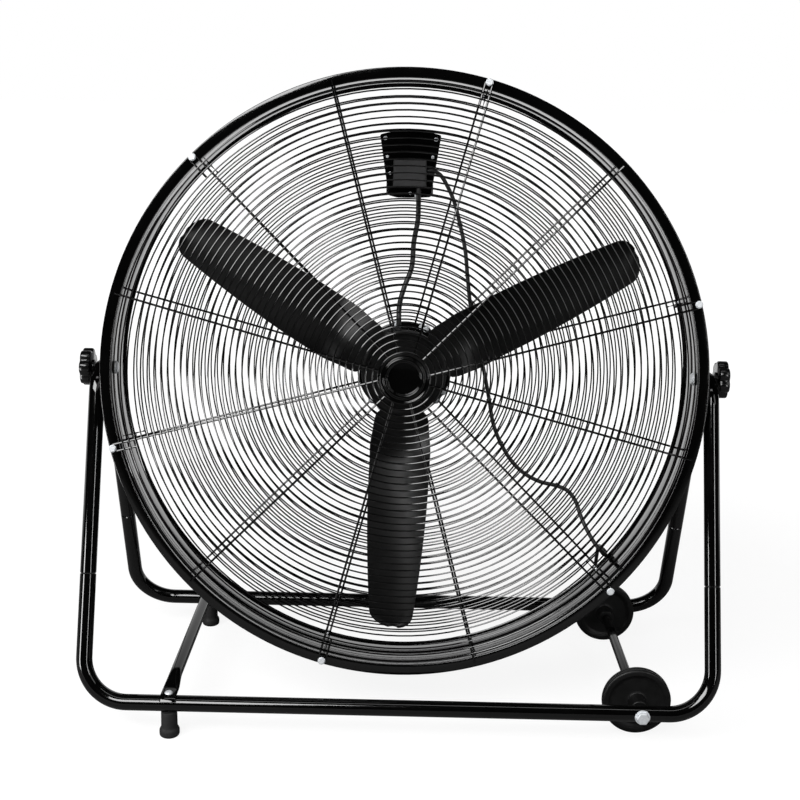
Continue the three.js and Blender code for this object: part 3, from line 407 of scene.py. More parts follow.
# Moulded polypropylene: charcoal, matt, with a little chalky bloom.
finish("grey_plastic", "1C1C1D", "252526", 18, (0.5, 0.62), 12, ("cells", 1.0, 0, 0.04), IOR=1.49)
# Moulded natural rubber: soft black, dull, with a dusty unevenness.
finish("black_rubber", "0C0C0C", "151515", 12, (0.66, 0.82), 8, ("spots", 0.7, 4.0, 0.05), IOR=1.52)
# Solid moulded wheels: black, dull, with fine mould marks.
finish("tyre_rubber", "050505", "0A0A0A", 16, (0.4, 0.55), 10, ("spots", 1.1, 4.0, 0.04), IOR=1.42)
# Bright zinc plating on steel: pale, slightly blue, cloudy in its shine.
finish("zinc_plate", "DADEE2", "F0F2F4", 3, (0.42, 0.55), 2, ("spots", 0.6, 3.0, 0.01), Metallic=0.45)
# Turned bright steel: grey, with fine tool marks.
finish("machined_steel", "8B8F94", "A9ADB1", 5, (0.26, 0.4), 4, ("marks", 0.5, 2.0, 0.01), Metallic=1.0)
# Stacked laminations and enamelled copper: bands of brown and grey.
finish("laminated_core", "6B4128", "8F8A84", 0, (0.4, 0.55), 6, ("sheets", 1.0, 0, 0.05), Metallic=0.7)
# Extruded black PVC: even, half matt, with slight waves left by the coiling.
finish("cord_sheath", "070707", "0D0D0D", 25, (0.36, 0.5), 14, ("spots", 9, 2.0, 0.08), IOR=1.54)


def dress(made, paint, body, *replaced, place=None):
    """Puts a finished piece in place, paints it, and makes it ride on its body."""
    if place is None:
        place = DRUM if body in ("drum", "rotor") else IN_PLACE
    made.data.transform(place)
    made.data.materials.clear()
    made.data.materials.append(FINISH[paint])
    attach(made, body)
    if replaced:
        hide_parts(*replaced)
    return made


# ---- patterns of repeated pieces ----
def pattern(name, inputs):
    """A Geometry Nodes tree with named inputs, and those inputs."""
    tree = bpy.data.node_groups.new(name, "GeometryNodeTree")
    tree.interface.new_socket("Geometry", in_out="INPUT", socket_type="NodeSocketGeometry")
    for label, kind in inputs.items():
        tree.interface.new_socket(label, in_out="INPUT", socket_type="NodeSocket" + kind)
    tree.interface.new_socket("Geometry", in_out="OUTPUT", socket_type="NodeSocketGeometry")
    return tree, add(tree, "NodeGroupInput").outputs


def end_pattern(tree, geometry, given):
    """Ends a tree: its copies as real geometry, with its finish."""
    real = add(tree, "GeometryNodeRealizeInstances", {"Geometry": geometry})
    painted = add(tree, "GeometryNodeSetMaterial", {"Geometry": real, "Material": given["Finish"]})
    add(tree, "NodeGroupOutput", {"Geometry": painted})
    return tree


def wired(tree, line, wire):
    """Round wire of a radius along curves."""
    section = add(tree, "GeometryNodeCurvePrimitiveCircle", {"Resolution": 8, "Radius": wire})
    skin = add(tree, "GeometryNodeCurveToMesh", {"Curve": line, "Profile Curve": section, "Fill Caps": True})
    return add(tree, "GeometryNodeSetShadeSmooth", {"Geometry": skin})


def ring_pattern():
    """Rings of wire round the drum axis, on a shallow dome."""
    tree, given = pattern("guard_rings", {
        "Count": "Int", "Edge": "Float", "Pitch": "Float", "Dome": "Float", "Seat": "Float", "Wire": "Float",
        "Sides": "Int", "Finish": "Material"})
    line = add(tree, "GeometryNodeMeshLine", {"Count": given["Count"]}, mode="OFFSET")
    inset = add(tree, "ShaderNodeMath", {0: add(tree, "GeometryNodeInputIndex"), 1: given["Pitch"]},
                operation="MULTIPLY")
    radius = add(tree, "ShaderNodeMath", {0: given["Edge"], 1: inset}, operation="SUBTRACT")
    share = add(tree, "ShaderNodeMath", {0: radius, 1: given["Edge"]}, operation="DIVIDE")
    fall = add(tree, "ShaderNodeMath", {0: share, 1: share}, operation="MULTIPLY")
    left = add(tree, "ShaderNodeMath", {0: 1.0, 1: fall}, operation="SUBTRACT")
    rise = add(tree, "ShaderNodeMath", {0: left, 1: given["Dome"], 2: given["Seat"]},
               operation="MULTIPLY_ADD")
    away = add(tree, "ShaderNodeCombineXYZ", {"Y": rise})
    points = add(tree, "GeometryNodeSetPosition", {"Geometry": line, "Position": away})
    circle = add(tree, "GeometryNodeCurvePrimitiveCircle", {"Resolution": given["Sides"], "Radius": 1.0})
    size = add(tree, "ShaderNodeCombineXYZ", {"X": radius, "Y": radius, "Z": radius})
    copies = add(tree, "GeometryNodeInstanceOnPoints", {
        "Points": points, "Instance": circle, "Rotation": (math.pi / 2, 0, 0), "Scale": size})
    lines = add(tree, "GeometryNodeRealizeInstances", {"Geometry": copies})
    return end_pattern(tree, wired(tree, lines, given["Wire"]), given)


def round_pattern(name, of_wire):
    """Copies of a piece, or of a line made into wire, at equal angles round the drum axis."""
    inputs = {"Count": "Int", "First": "Float", "Step": "Float", "Finish": "Material"}
    tree, given = pattern(name, {**inputs, "Wire": "Float"} if of_wire else inputs)
    master = given["Geometry"]
    if of_wire:
        master = wired(tree, add(tree, "GeometryNodeMeshToCurve", {"Mesh": master}), given["Wire"])
    line = add(tree, "GeometryNodeMeshLine", {"Count": given["Count"], "Offset": (0, 0, 0)}, mode="OFFSET")
    index = add(tree, "GeometryNodeInputIndex")
    angle = add(tree, "ShaderNodeMath", {0: index, 1: given["Step"], 2: given["First"]},
                operation="MULTIPLY_ADD")
    back = add(tree, "ShaderNodeMath", {0: angle, 1: -1.0}, operation="MULTIPLY")
    turned_to = add(tree, "ShaderNodeCombineXYZ", {"Y": back})
    copies = add(tree, "GeometryNodeInstanceOnPoints", {
        "Points": line, "Instance": master, "Rotation": turned_to})
    return end_pattern(tree, copies, given)


GUARD_RINGS = ring_pattern()
COPIES_ROUND = round_pattern("copies_round_the_axis", False)
WIRES_ROUND = round_pattern("wires_round_the_axis", True)


def run(made, tree, paint, **values):
    """Runs a pattern on an object, and keeps the result as its mesh."""
    modifier = made.modifiers.new(tree.name, "NODES")
    modifier.node_group = tree
    values["Finish"] = FINISH[paint]
    for item in tree.interface.items_tree:
        if item.in_out == "INPUT" and item.name in values:
            modifier[item.identifier] = values[item.name]
    return keep_result(made)


def round_copies(made, paint, count, first, step):
    """Copies of a piece made on +X, at equal angles in degrees."""
    return run(made, COPIES_ROUND, paint, Count=count, First=math.radians(first), Step=math.radians(step))


# ---- camera ----
IMAGE = 800                     # pixels each way
FOCAL = 1246.3                  # pixels
MIDDLE = (397.2, 378.1)         # where the lens axis meets the picture
SENSOR = 36
LENS_PLACE = (2.8, -2007.2, 1013.2)
YAW, PITCH, ROLL = -0.007, -0.231, 0.019


def photograph_camera():
    """The camera that was fitted to the photograph."""
    forward = Vector((math.sin(YAW) * math.cos(PITCH), math.cos(YAW) * math.cos(PITCH), math.sin(PITCH)))
    level = Vector((math.cos(YAW), -math.sin(YAW), 0))
    above = level.cross(forward)
    right = level * math.cos(ROLL) + above * math.sin(ROLL)
    up = above * math.cos(ROLL) - level * math.sin(ROLL)
    lens = bpy.data.cameras.new("photograph_camera")
    lens.sensor_width = SENSOR
    lens.lens = FOCAL / IMAGE * SENSOR
    lens.shift_x = (IMAGE / 2 - MIDDLE[0]) / IMAGE
    lens.shift_y = -(IMAGE / 2 - MIDDLE[1]) / IMAGE
    lens.clip_end = 100
    camera = bpy.data.objects.new("photograph_camera", lens)
    turn = Matrix((right, up, -forward)).transposed().to_4x4()
    camera.matrix_world = Matrix.Translation(Vector(LENS_PLACE) * MM) @ turn
    bpy.context.scene.collection.objects.link(camera)
    bpy.context.scene.camera = camera


photograph_camera()

# ---- the loose lead: out of its gland, down behind the stand, then a coil with the plug on it ----
MAINS = 3.4                     # radius of the mains lead
GLAND_ANGLE = math.radians(-41.4)
GLAND = Vector((math.cos(GLAND_ANGLE), 0, math.sin(GLAND_ANGLE))) * 470
GLAND_FRONT = 74.3
GLAND_LENGTH = 34
COIL_Y = 295
COIL_PITCH = 7.6
COIL_DOWN = 1.5                 # turns on the floor, winding in
COIL_UP = 1.3                   # turns on top of them, winding out
COIL_RISE = 0.36                # share of a turn in which the end climbs to the plug
COIL_DRAW = 11                  # how far the end is drawn inwards over the turns
COIL_STEPS = 48                 # points to a turn
DROP_X = 367
COIL_START = 37.9 + COIL_DOWN * COIL_PITCH / 2
COIL_X = DROP_X + COIL_START
LAYER = 2 * MAINS + 0.6
PLUG_RADIUS = 17
PLUG_LENGTH = 32
PLUG_HEIGHT = MAINS + LAYER + MAINS + CLEAR + PLUG_RADIUS
PIN_RADIUS = 2.4
PIN_LENGTH = 19
PIN_SPACING = 19


def coil_point(turn):
    """A point of the coil, after some turns from where the lead reaches it."""
    winding = min(turn, COIL_DOWN + COIL_UP)
    down = min(winding, COIL_DOWN)
    up = max(winding - COIL_DOWN, 0)
    top = COIL_DOWN + COIL_UP
    ending = ease(turn, top, top + COIL_RISE)
    drawn = COIL_DRAW * ease(turn, top + COIL_RISE / 2, top + COIL_RISE)
    radius = COIL_START - COIL_PITCH * down + COIL_PITCH * up - drawn
    height = MAINS + LAYER * ease(turn, COIL_DOWN - 0.25, COIL_DOWN + 0.25)
    angle = math.pi - TAU * turn
    return Vector((COIL_X + radius * math.cos(angle), COIL_Y + radius * math.sin(angle),
                   height + (PLUG_HEIGHT - height) * ending))


def lead_path():
    """The lead's middle line, and the flat direction in which it ends."""
    leave = DRUM.to_3x3() @ BACK
    start = (DRUM @ ((GLAND + BACK * (GLAND_FRONT + GLAND_LENGTH + CLEAR)) * MM)) / MM
    drop = [start, start + leave * 13, (354, 92, 220), (356, 115, 208.5), (358.5, 135, 194),
            (360.5, 153, 177), (362.5, 171, 156.5), (364, 187, 135), (365.3, 200, 115), (366.3, 211, 98),
            (DROP_X, 221, 80),
            (DROP_X, 229, 64), (DROP_X, 236.5, 49.5), (DROP_X, 244, 35), (DROP_X, 251.7, 20.8),
            (DROP_X, 260.5, 9.9), (DROP_X, 271, 4.6), (DROP_X, COIL_Y - 2 * MAINS - 4, MAINS),
            (DROP_X, COIL_Y - 2 * MAINS, MAINS)]
    count = round((COIL_DOWN + COIL_UP + COIL_RISE) * COIL_STEPS)
    coil = [coil_point(k / COIL_STEPS) for k in range(count + 1)]
    heading = coil[-1] - coil[-2]
    heading.z = 0
    heading.normalize()
    path = flowing(drop, 8) + flowing(coil, 1)
    return path + [path[-1] + heading * (2 * MAINS)], heading


def two_pin_plug(end, heading):
    """A moulded plug with a ribbed neck and two round pins, lying on the coil."""
    neck = MAINS + 2
    body = [(0, CLEAR), (neck, CLEAR), (neck + 0.8, 3), (PLUG_RADIUS - 3, 9), (PLUG_RADIUS, 13),
            (PLUG_RADIUS, 17), (PLUG_RADIUS - 1, 18), (PLUG_RADIUS - 1, 20), (PLUG_RADIUS, 21),
            (PLUG_RADIUS, PLUG_LENGTH), (0, PLUG_LENGTH)]
    along = heading.to_track_quat("Y", "Z").to_matrix().to_4x4()
    place = Matrix.Translation(end * MM) @ along
    dress(turned("plug_body", rounded(body, 1.5), 48), "black_rubber", "stand", "plug", place=place)
    pin = rounded(band(0, PIN_RADIUS, PLUG_LENGTH - 3, PLUG_LENGTH + PIN_LENGTH), 1.2)
    pins = joined("plug_pins", *[moved(turned("pin", pin, 24), shift(side * PIN_SPACING / 2, 0, 0))
                                 for side in (-1, 1)])
    return dress(moved(pins, Matrix.Rotation(math.pi / 2, 4, "Y")), "zinc_plate", "stand", place=place)


def loose_lead():
    """The lead that hangs from the drum and lies coiled behind the stand, with its plug."""
    path, heading = lead_path()
    lead = tube("mains_lead_loose", path, MAINS, 16)
    pins = two_pin_plug(path[-1], heading)
    lead.data.materials.append(FINISH["cord_sheath"])
    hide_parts("cord_drop", "cord_coil")
    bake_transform(lead)


loose_lead()


# ---- drum shell ----
def wall(radius):
    """Points along the drum's wall from front to back, over its two beads."""
    return [(radius + height, middle + across) for middle in (-BEAD_PLACE, BEAD_PLACE)
            for height, across in ((0, -BEAD_HALF), (BEAD_HEIGHT, -BEAD_HALF / 2),
                                   (BEAD_HEIGHT, BEAD_HALF / 2), (0, BEAD_HALF))]


def drum_shell():
    """The rolled sheet: a flat lip in front, a narrow one behind, and a raised band at each end."""
    step = RIM_RADIUS - WALL_RADIUS
    inside = WALL_RADIUS - SHEET
    rim_inside = RIM_RADIUS - SHEET
    lip = RIM_RADIUS - FRONT_LIP
    profile = [
        (lip, -HALF_DEPTH), (RIM_RADIUS, -HALF_DEPTH), (RIM_RADIUS, -HALF_DEPTH + RIM_BAND),
        (WALL_RADIUS, -HALF_DEPTH + RIM_BAND + step), *wall(WALL_RADIUS),
        (WALL_RADIUS, HALF_DEPTH - RIM_BAND - step), (RIM_RADIUS, HALF_DEPTH - RIM_BAND),
        (RIM_RADIUS, HALF_DEPTH), (RIM_RADIUS - REAR_LIP, HALF_DEPTH),
        (RIM_RADIUS - REAR_LIP, HALF_DEPTH - SHEET), (rim_inside, HALF_DEPTH - SHEET),
        (rim_inside, HALF_DEPTH - RIM_BAND - 1), (inside, HALF_DEPTH - RIM_BAND - step - 1),
        *wall(inside)[::-1], (inside, -HALF_DEPTH + RIM_BAND + step + 1),
        (rim_inside, -HALF_DEPTH + RIM_BAND + 1), (rim_inside, -HALF_DEPTH + SHEET),
        (lip + 4, -HALF_DEPTH + SHEET), (lip + 3, -HALF_DEPTH + HEM), (lip, -HALF_DEPTH + HEM)]
    dress(turned("drum_skin", rounded(profile, 1.6, 3), 180), "black_enamel", "drum", "drum_shell")


drum_shell()


# ---- guards ----
def dome(radius):
    """How far a guard stands out over its edge, at a radius."""
    return GUARD_DOME * max(0, 1 - (radius / GUARD_EDGE) ** 2)


def rib_path(way, hairpin):
    """One rib along +X; a hairpin goes round its screw and comes back beside itself."""
    place = GUARD_SEAT + RIB_WIRE
    offset = HAIRPIN[way] if hairpin else 0
    reach = SCREW_RADIUS[way] - abs(offset) + HAIRPIN_PLAY if hairpin else PLAIN_RIB_END
    steps = 24
    radii = [RIB_EYE + (GUARD_EDGE - RIB_EYE) * k / steps for k in range(steps + 1)] + [reach]
    path = [(r, way * (place + dome(r)), -offset) for r in radii]
    if hairpin:
        loop = [math.radians(-90 + 180 * k / 10) for k in range(1, 10)]
        path += [(reach + abs(offset) * math.cos(a), way * place, offset * math.sin(a)) for a in loop]
        back = reach - HAIRPIN_RETURN[way]
        path += [(r, way * (place + dome(r)), offset) for r in (reach, GUARD_EDGE, back + HAIRPIN_FOOT, back)]
    return path


def guard(way):
    """Thirty-nine rings on twelve ribs, as spot-welded wire; way is -1 in front and 1 at the rear."""
    name = END[way]
    ring_seat = GUARD_SEAT + 2 * RIB_WIRE - RING_SINK + RING_WIRE
    wires = [run(piece_from(f"{name}_rings", [], []), GUARD_RINGS, "black_enamel", Count=RING_COUNT,
                 Edge=GUARD_EDGE * MM, Pitch=RING_PITCH[way] * MM, Dome=way * GUARD_DOME * MM,
                 Seat=way * ring_seat * MM, Wire=RING_WIRE * MM, Sides=128)]
    for first, hairpin in ((RIB_FIRST, True), (RIB_FIRST + 30, False)):
        path = rib_path(way, hairpin)
        line = piece_from(f"{name}_rib_{first}", path, [], [(i, i + 1) for i in range(len(path) - 1)])
        wires.append(run(line, WIRES_ROUND, "black_enamel", Count=6, First=math.radians(first),
                         Step=math.radians(60), Wire=RIB_WIRE * MM))
    eye = arc(BACK * way * (GUARD_SEAT + RIB_WIRE + dome(RIB_EYE)), ACROSS, UP, EYE_RADIUS, 0, 360, 64)
    dress(joined(f"{name}_wire_guard", *wires, tube(f"{name}_eye", eye, RIB_WIRE, 10)),
          "black_enamel", "drum", f"{name}_guard")


guard(-1)
guard(1)


def hex_screw(name, head, height, shank, length, flange=1.25):
    """A hexagon-headed screw with a washer face: its seat at 0 along Y, its head towards -Y."""
    washer = turned(name + "_washer", rounded(band(0, head * flange, -1.2, 0), 0.4), 32)
    hexagon = turned(name + "_hexagon", [(0, -height), (head * 0.86, -height), (head, -height + 0.7),
                                         (head, -1), (0, -1)], 6)
    thread = turned(name + "_shank", [(0, -0.5), (shank, -0.5), (shank, length), (0, length + shank)], 16)
    return joined(name, washer, hexagon, thread)


def guard_screws(way):
    """Six zinc screws hold a guard, each inside the hairpin of a rib."""
    name = END[way]
    screw = hex_screw(name + "_screws", SCREW_HEAD[way], height=3.4, shank=2.2, length=7, flange=1.08)
    seat = shift(SCREW_RADIUS[way], way * SCREW_SEAT, 0)
    moved(screw, seat if way < 0 else seat @ OVER)
    round_copies(screw, "zinc_plate", 6, RIB_FIRST, 60)
    dress(screw, "zinc_plate", "drum", *[f"{name}_guard_screw_{i}" for i in range(1, 7)])


guard_screws(-1)
guard_screws(1)


def badge():
    """The moulded disc in the middle of the front guard: bare, with a rolled edge and a raised ring."""
    back = -(GUARD_SEAT + GUARD_THICK + GUARD_DOME + CLEAR)
    face = back - 3
    outline = [(0, back), (42, back), (42, face + 0.4), (41, face - 1), (38.6, face - 1), (37.2, face + 0.3),
               (33, face + 0.3), (31.6, face - 4.5), (27.4, face - 4.5), (26, face + 0.2), (0, face + 0.2)]
    dress(turned("badge_disc", rounded(outline, 1.3), 128), "black_enamel", "drum", "guard_badge")


badge()

# ---- rotor ----
HUB_FACE = -9
HUB_RADIUS = 70
HUB_DISC = 3                    # thickness of its disc
BLADE_FIRST = 28                # degrees above +X
BLADE_ROOT = 50
BLADE_FLAT = 84                 # flat as far as here, then twisting
BLADE_TWIST = 70                # within this length
BLADE_TIP = 428
RIVET_OUT = 58                  # a blade's two rivets, from the hub's middle and from the blade's
RIVET_ASIDE = 17
ROOT_PITCH = 30                 # degrees
TIP_PITCH = 15
ROOT_WIDTH = 92
NARROW_ROOT = 0.72              # share of that width where it starts, before its shoulders
SHOULDER_START = 60
SHOULDER_LENGTH = 30
WIDEST = 114
TIP_WIDTH = 70.2
TIP_ROUND = 26                  # length of the rounded end
TIP_SWEEP = 5
CAMBER = 7


def blade_section(r):
    """A paddle at a radius: share of its twist, pitch, width, and share of its rounded end."""
    twisted = BLADE_FLAT + BLADE_TWIST
    twist = ease(r, BLADE_FLAT, twisted)
    out = min(max((r - twisted) / (BLADE_TIP - twisted), 0), 1)
    pitch = math.radians(twist * (ROOT_PITCH + (TIP_PITCH - ROOT_PITCH) * out))
    shoulder = 1 - min(max((r - SHOULDER_START) / SHOULDER_LENGTH, 0), 1)
    rounding = NARROW_ROOT + (1 - NARROW_ROOT) * math.sqrt(1 - shoulder ** 2)
    swell = (ROOT_WIDTH + (WIDEST - ROOT_WIDTH) * twist) * rounding
    end = max(0, (r - BLADE_TIP + TIP_ROUND) / TIP_ROUND)
    width = (swell + (TIP_WIDTH - swell) * out ** 1.6) * math.sqrt(max(0.06, 1 - 0.94 * end ** 2.4))
    return twist, pitch, width, end


def blade(index):
    """A pressed paddle: flat where it is riveted behind the hub, then pitched and cambered."""
    rows, columns, half = 60, 26, 1.0
    seat = HUB_FACE + HUB_DISC + CLEAR + half
    faces_of = ([], [])
    for i in range(rows + 1):
        r = BLADE_ROOT + (BLADE_TIP - BLADE_ROOT) * (1 - (1 - i / rows) ** 1.5)
        twist, pitch, width, end = blade_section(r)
        for j in range(columns + 1):
            w = (j / columns - 0.5) * width
            lift = twist * CAMBER * (1 - (2 * j / columns - 1) ** 2)
            side = w * math.cos(pitch) + lift * math.sin(pitch) + TIP_SWEEP * end ** 2
            depth = seat - w * math.sin(pitch) + lift * math.cos(pitch)
            for way, face in zip((-1, 1), faces_of):
                face.append((r, depth + way * half * math.cos(pitch), side + way * half * math.sin(pitch)))
    count = (rows + 1) * (columns + 1)
    faces = []
    for i in range(rows):
        for j in range(columns):
            a = i * (columns + 1) + j
            quad = (a, a + 1, a + columns + 2, a + columns + 1)
            faces += [quad, tuple(corner + count for corner in quad)]
    border = [*range(columns)] + [i * (columns + 1) + columns for i in range(rows)]
    border += [rows * (columns + 1) + j for j in range(columns, 0, -1)]
    border += [i * (columns + 1) for i in range(rows, 0, -1)]
    faces += [(a, b, b + count, a + count) for a, b in zip(border, border[1:] + border[:1])]
    turn = Matrix.Rotation(-math.radians(BLADE_FIRST + 120 * index), 4, "Y")
    made = solid(f"fan_blade_{index + 1}", faces_of[0] + faces_of[1], faces)
    dress(made, "black_fan_paint", "rotor", f"blade_{index + 1}", place=DRUM @ turn)


def hub():
    """The disc and sleeve that carry the blades, the nut in front, and the blades' rivets."""
    back = HUB_FACE + HUB_DISC
    outline = [(BORE, HUB_FACE - 7), (17, HUB_FACE - 7), (20, HUB_FACE - 1), (20, HUB_FACE), (26, HUB_FACE),
               (30, HUB_FACE + 1), (HUB_RADIUS - 8, HUB_FACE + 1), (HUB_RADIUS - 4, HUB_FACE),
               (HUB_RADIUS, HUB_FACE + 0.6), (HUB_RADIUS, back), (20, back), (20, HUB_FACE + 16),
               (BORE, HUB_FACE + 16)]
    dress(turned("hub_spider", rounded(outline, 1.2)), "black_fan_paint", "rotor", "blade_hub")
    nut_seat = HUB_FACE - 7 - CLEAR
    nut = [(BORE, nut_seat - 8), (8.4, nut_seat - 8), (9.5, nut_seat - 7), (9.5, nut_seat), (BORE, nut_seat)]
    dress(turned("shaft_nut", nut, 6), "zinc_plate", "rotor", "hub_nut")
    head = [(0, HUB_FACE - 1.8), (2.4, HUB_FACE - 1.5), (4, HUB_FACE + 0.4), (0, HUB_FACE + 0.4)]
    rivets = joined("blade_rivets", *[moved(turned("rivet", head, 20), shift(RIVET_OUT, 0, aside))
                                      for aside in (-RIVET_ASIDE, RIVET_ASIDE)])
    dress(round_copies(rivets, "black_fan_paint", 3, BLADE_FIRST, 120), "black_fan_paint", "rotor")


for blade_index in range(3):
    blade(blade_index)
hub()

# ---- motor and its mounting plate ----
MOTOR_RADIUS = 68
MOTOR_NOSE = 54
MOTOR_FRONT = 18
MOTOR_SPLIT = 46
PLATE_RADIUS = 80
PLATE_REAR = GUARD_SEAT + dome(PLATE_RADIUS) - CLEAR
PLATE_THICKNESS = 2.5
MOTOR_REAR = PLATE_REAR - PLATE_THICKNESS - CLEAR
PLATE_SCREWS = (100.5, 68.8, 62, -30, -43.5, -120, -134.7)    # degrees


def motor():
    """Two pressed covers with cooling fins and long bolts through them."""
    lip = MOTOR_RADIUS + 1
    front = [(8, MOTOR_FRONT), (24, MOTOR_FRONT), (27, MOTOR_FRONT + 2), (MOTOR_NOSE - 8, MOTOR_FRONT + 2),
             (MOTOR_NOSE - 4, MOTOR_FRONT), (MOTOR_NOSE, MOTOR_FRONT), (MOTOR_RADIUS, MOTOR_FRONT + 8),
             (MOTOR_RADIUS, MOTOR_SPLIT - 4), (lip, MOTOR_SPLIT - 3), (lip, MOTOR_SPLIT), (8, MOTOR_SPLIT)]
    dress(turned("motor_cover_front", rounded(front, 1.6)), "black_fan_paint", "drum", "motor_front_cover")
    split = MOTOR_SPLIT + CLEAR
    rear = [(0, split), (lip, split), (lip, split + 3), (MOTOR_RADIUS, split + 4),
            (MOTOR_RADIUS, MOTOR_REAR - 8), (MOTOR_NOSE, MOTOR_REAR), (0, MOTOR_REAR)]
    dress(turned("motor_cover_rear", rounded(rear, 1.6)), "black_fan_paint", "drum", "motor_rear_cover")
    fin = box("cooling_fins", (MOTOR_RADIUS + 0.4, (split + MOTOR_REAR) / 2, 0),
              (3, MOTOR_REAR - split - 22, 1.8))
    round_copies(soften(fin, 0.5, 2), "black_fan_paint", 36, 5, 10)
    dress(fin, "black_fan_paint", "drum")
    bolt = hex_screw("motor_bolts", head=3.6, height=3, shank=2, length=6)
    round_copies(moved(bolt, shift(MOTOR_NOSE + 4, MOTOR_FRONT + 2.4, 0)), "zinc_plate", 4, 45, 90)
    dress(bolt, "zinc_plate", "drum")


def mounting_plate():
    """The round plate behind the motor, screwed through the rear guard to washers outside it."""
    front = PLATE_REAR - PLATE_THICKNESS
    plate = [(0, front), (PLATE_RADIUS - 3, front), (PLATE_RADIUS - 2, front - 1), (PLATE_RADIUS, front - 1),
             (PLATE_RADIUS, PLATE_REAR), (0, PLATE_REAR)]
    dress(turned("mounting_disc", rounded(plate, 0.7)), "black_enamel", "drum", "motor_mount_plate")
    outside = GUARD_SEAT + 6 + dome(PLATE_RADIUS)
    washer_outline = rounded(band(0, 8, outside, outside + 1.4), 0.4)
    nut_outline = [(0, outside + 1), (4, outside + 1), (4, outside + 4), (3.4, outside + 4.6),
                   (0, outside + 4.6)]
    screws, nuts = [], []
    for angle in PLATE_SCREWS:
        across = (PLATE_RADIUS - 3) * math.cos(math.radians(angle))
        up = (PLATE_RADIUS - 3) * math.sin(math.radians(angle))
        screw = hex_screw("plate_screw", head=3.8, height=3.2, shank=2, length=10)
        screws.append(moved(screw, shift(across, front, up)))
        clamp = joined("clamp", turned("plate_washer", washer_outline, 32),
                       turned("plate_nut", nut_outline, 6))
        nuts.append(moved(clamp, shift(across, 0, up)))
    dress(joined("mounting_screws", *screws), "zinc_plate", "drum")
    dress(joined("mounting_nuts", *nuts), "zinc_plate", "drum")


motor()
mounting_plate()

# ---- switch ----
SWITCH_X = 3
PANEL_TOP = 406
PANEL_HALF = 52                 # half its width
PLATE_BACK = GUARD_SEAT + dome(PANEL_TOP) - CLEAR
PLATE_FRONT = PLATE_BACK - 2
TERMINAL_DEEP = 25
TERMINAL_FRONT = PLATE_FRONT - CLEAR - TERMINAL_DEEP
HOUSING_LOW = 300               # its lower edge, the nearest to the guard
HOUSING_FRONT = GUARD_SEAT + GUARD_THICK + dome(HOUSING_LOW) + CLEAR
HOUSING_REAR = HOUSING_FRONT + 42
HOUSING_MIDDLE = 346
DIAL_RADIUS = 25                # where the dial's figures stand
SWITCH_SCREWS = ((-40, 392), (46, 391), (-36, 361), (41, 361), (-31, 333), (4, 300), (14, 296))


def switch_plate():
    """The pressed plate that carries the switch, with its zinc screws."""
    top = [(SWITCH_X + x, PANEL_TOP - 8 * (x / PANEL_HALF) ** 2)
           for x in range(-PANEL_HALF, PANEL_HALF + 1, 8)]
    outline = [*top, (SWITCH_X + 36, 294), (SWITCH_X + 12, 292.5), (SWITCH_X - 22, 292.5),
               (SWITCH_X - 36, 296)]
    plate = soften(slab("switch_panel", rounded(outline, 3), PLATE_FRONT, PLATE_BACK), 0.5, 2)
    dress(plate, "black_enamel", "drum", "switch_plate")
    screws = []
    for i, (x, z) in enumerate(SWITCH_SCREWS):
        screw = hex_screw("panel_screw", head=2.9 if i < 2 else 2.2, height=2.4, shank=1.4, length=4)
        screws.append(moved(screw, shift(x, PLATE_FRONT, z)))
    dress(joined("panel_screws", *screws), "zinc_plate", "drum")


def terminal_cover():
    """The moulded cover over the terminals, inside the drum."""
    middle = (TERMINAL_FRONT + PLATE_FRONT - CLEAR) / 2
    cover = soften(box("terminal_box", (SWITCH_X, middle, 331.5), (56, TERMINAL_DEEP, 45)), 2.4, 4)
    dress(cover, "grey_plastic", "drum", "terminal_cover")


def switch_housing():
    """The moulded housing behind the guard, with a rim, bosses to the plate, and its screws."""
    middle = (HOUSING_FRONT + HOUSING_REAR) / 2
    shell = soften(box("housing_shell", (SWITCH_X, middle + 2, HOUSING_MIDDLE), (76, 38, 92)), 6, 6)
    rim = soften(box("housing_rim", (SWITCH_X, HOUSING_FRONT + 4, HOUSING_MIDDLE), (80, 8, 96)), 2, 4)
    boss = band(0, 3.5, PLATE_BACK + CLEAR, HOUSING_FRONT + 6)
    bosses = [moved(turned("housing_boss", boss, 24), shift(SWITCH_X + side * 30, 0, HOUSING_MIDDLE))
              for side in (-1, 1)]
    dress(joined("switch_box", shell, rim, *bosses), "black_plastic", "drum", "switch_housing")
    screws = [moved(hex_screw("housing_screw", head=2.6, height=2, shank=1.4, length=4),
                    shift(SWITCH_X + x, HOUSING_REAR - 0.2, HOUSING_MIDDLE + z) @ OVER)
              for x in (-32, 32) for z in (-40, 40)]
    dress(joined("housing_screws", *screws), "zinc_plate", "drum")


def dial_marks():
    """Raised figures round the speed knob: 0, 1 and 2, a position apart."""
    for text, angle in (("0", 90), ("1", 157.5), ("2", 225)):
        curve = bpy.data.curves.new("dial_figure", "FONT")
        curve.body = text
        curve.size = 8 * MM
        curve.extrude = 0.4 * MM
        curve.align_x = "CENTER"
        curve.align_y = "CENTER"
        figure = bpy.data.objects.new(f"dial_figure_{text}", curve)
        bpy.context.scene.collection.objects.link(figure)
        bpy.context.view_layer.update()
        made = bpy.data.objects.new(f"dial_mark_{text}", bpy.data.meshes.new_from_object(figure))
        bpy.context.scene.collection.objects.link(made)
        bpy.data.objects.remove(figure)
        x = SWITCH_X - DIAL_RADIUS * math.cos(math.radians(angle))
        z = HOUSING_MIDDLE + DIAL_RADIUS * math.sin(math.radians(angle))
        dress(moved(made, ROUND @ UPRIGHT), "zinc_plate", "drum",
              place=DRUM @ shift(x, HOUSING_REAR + 0.2, z))


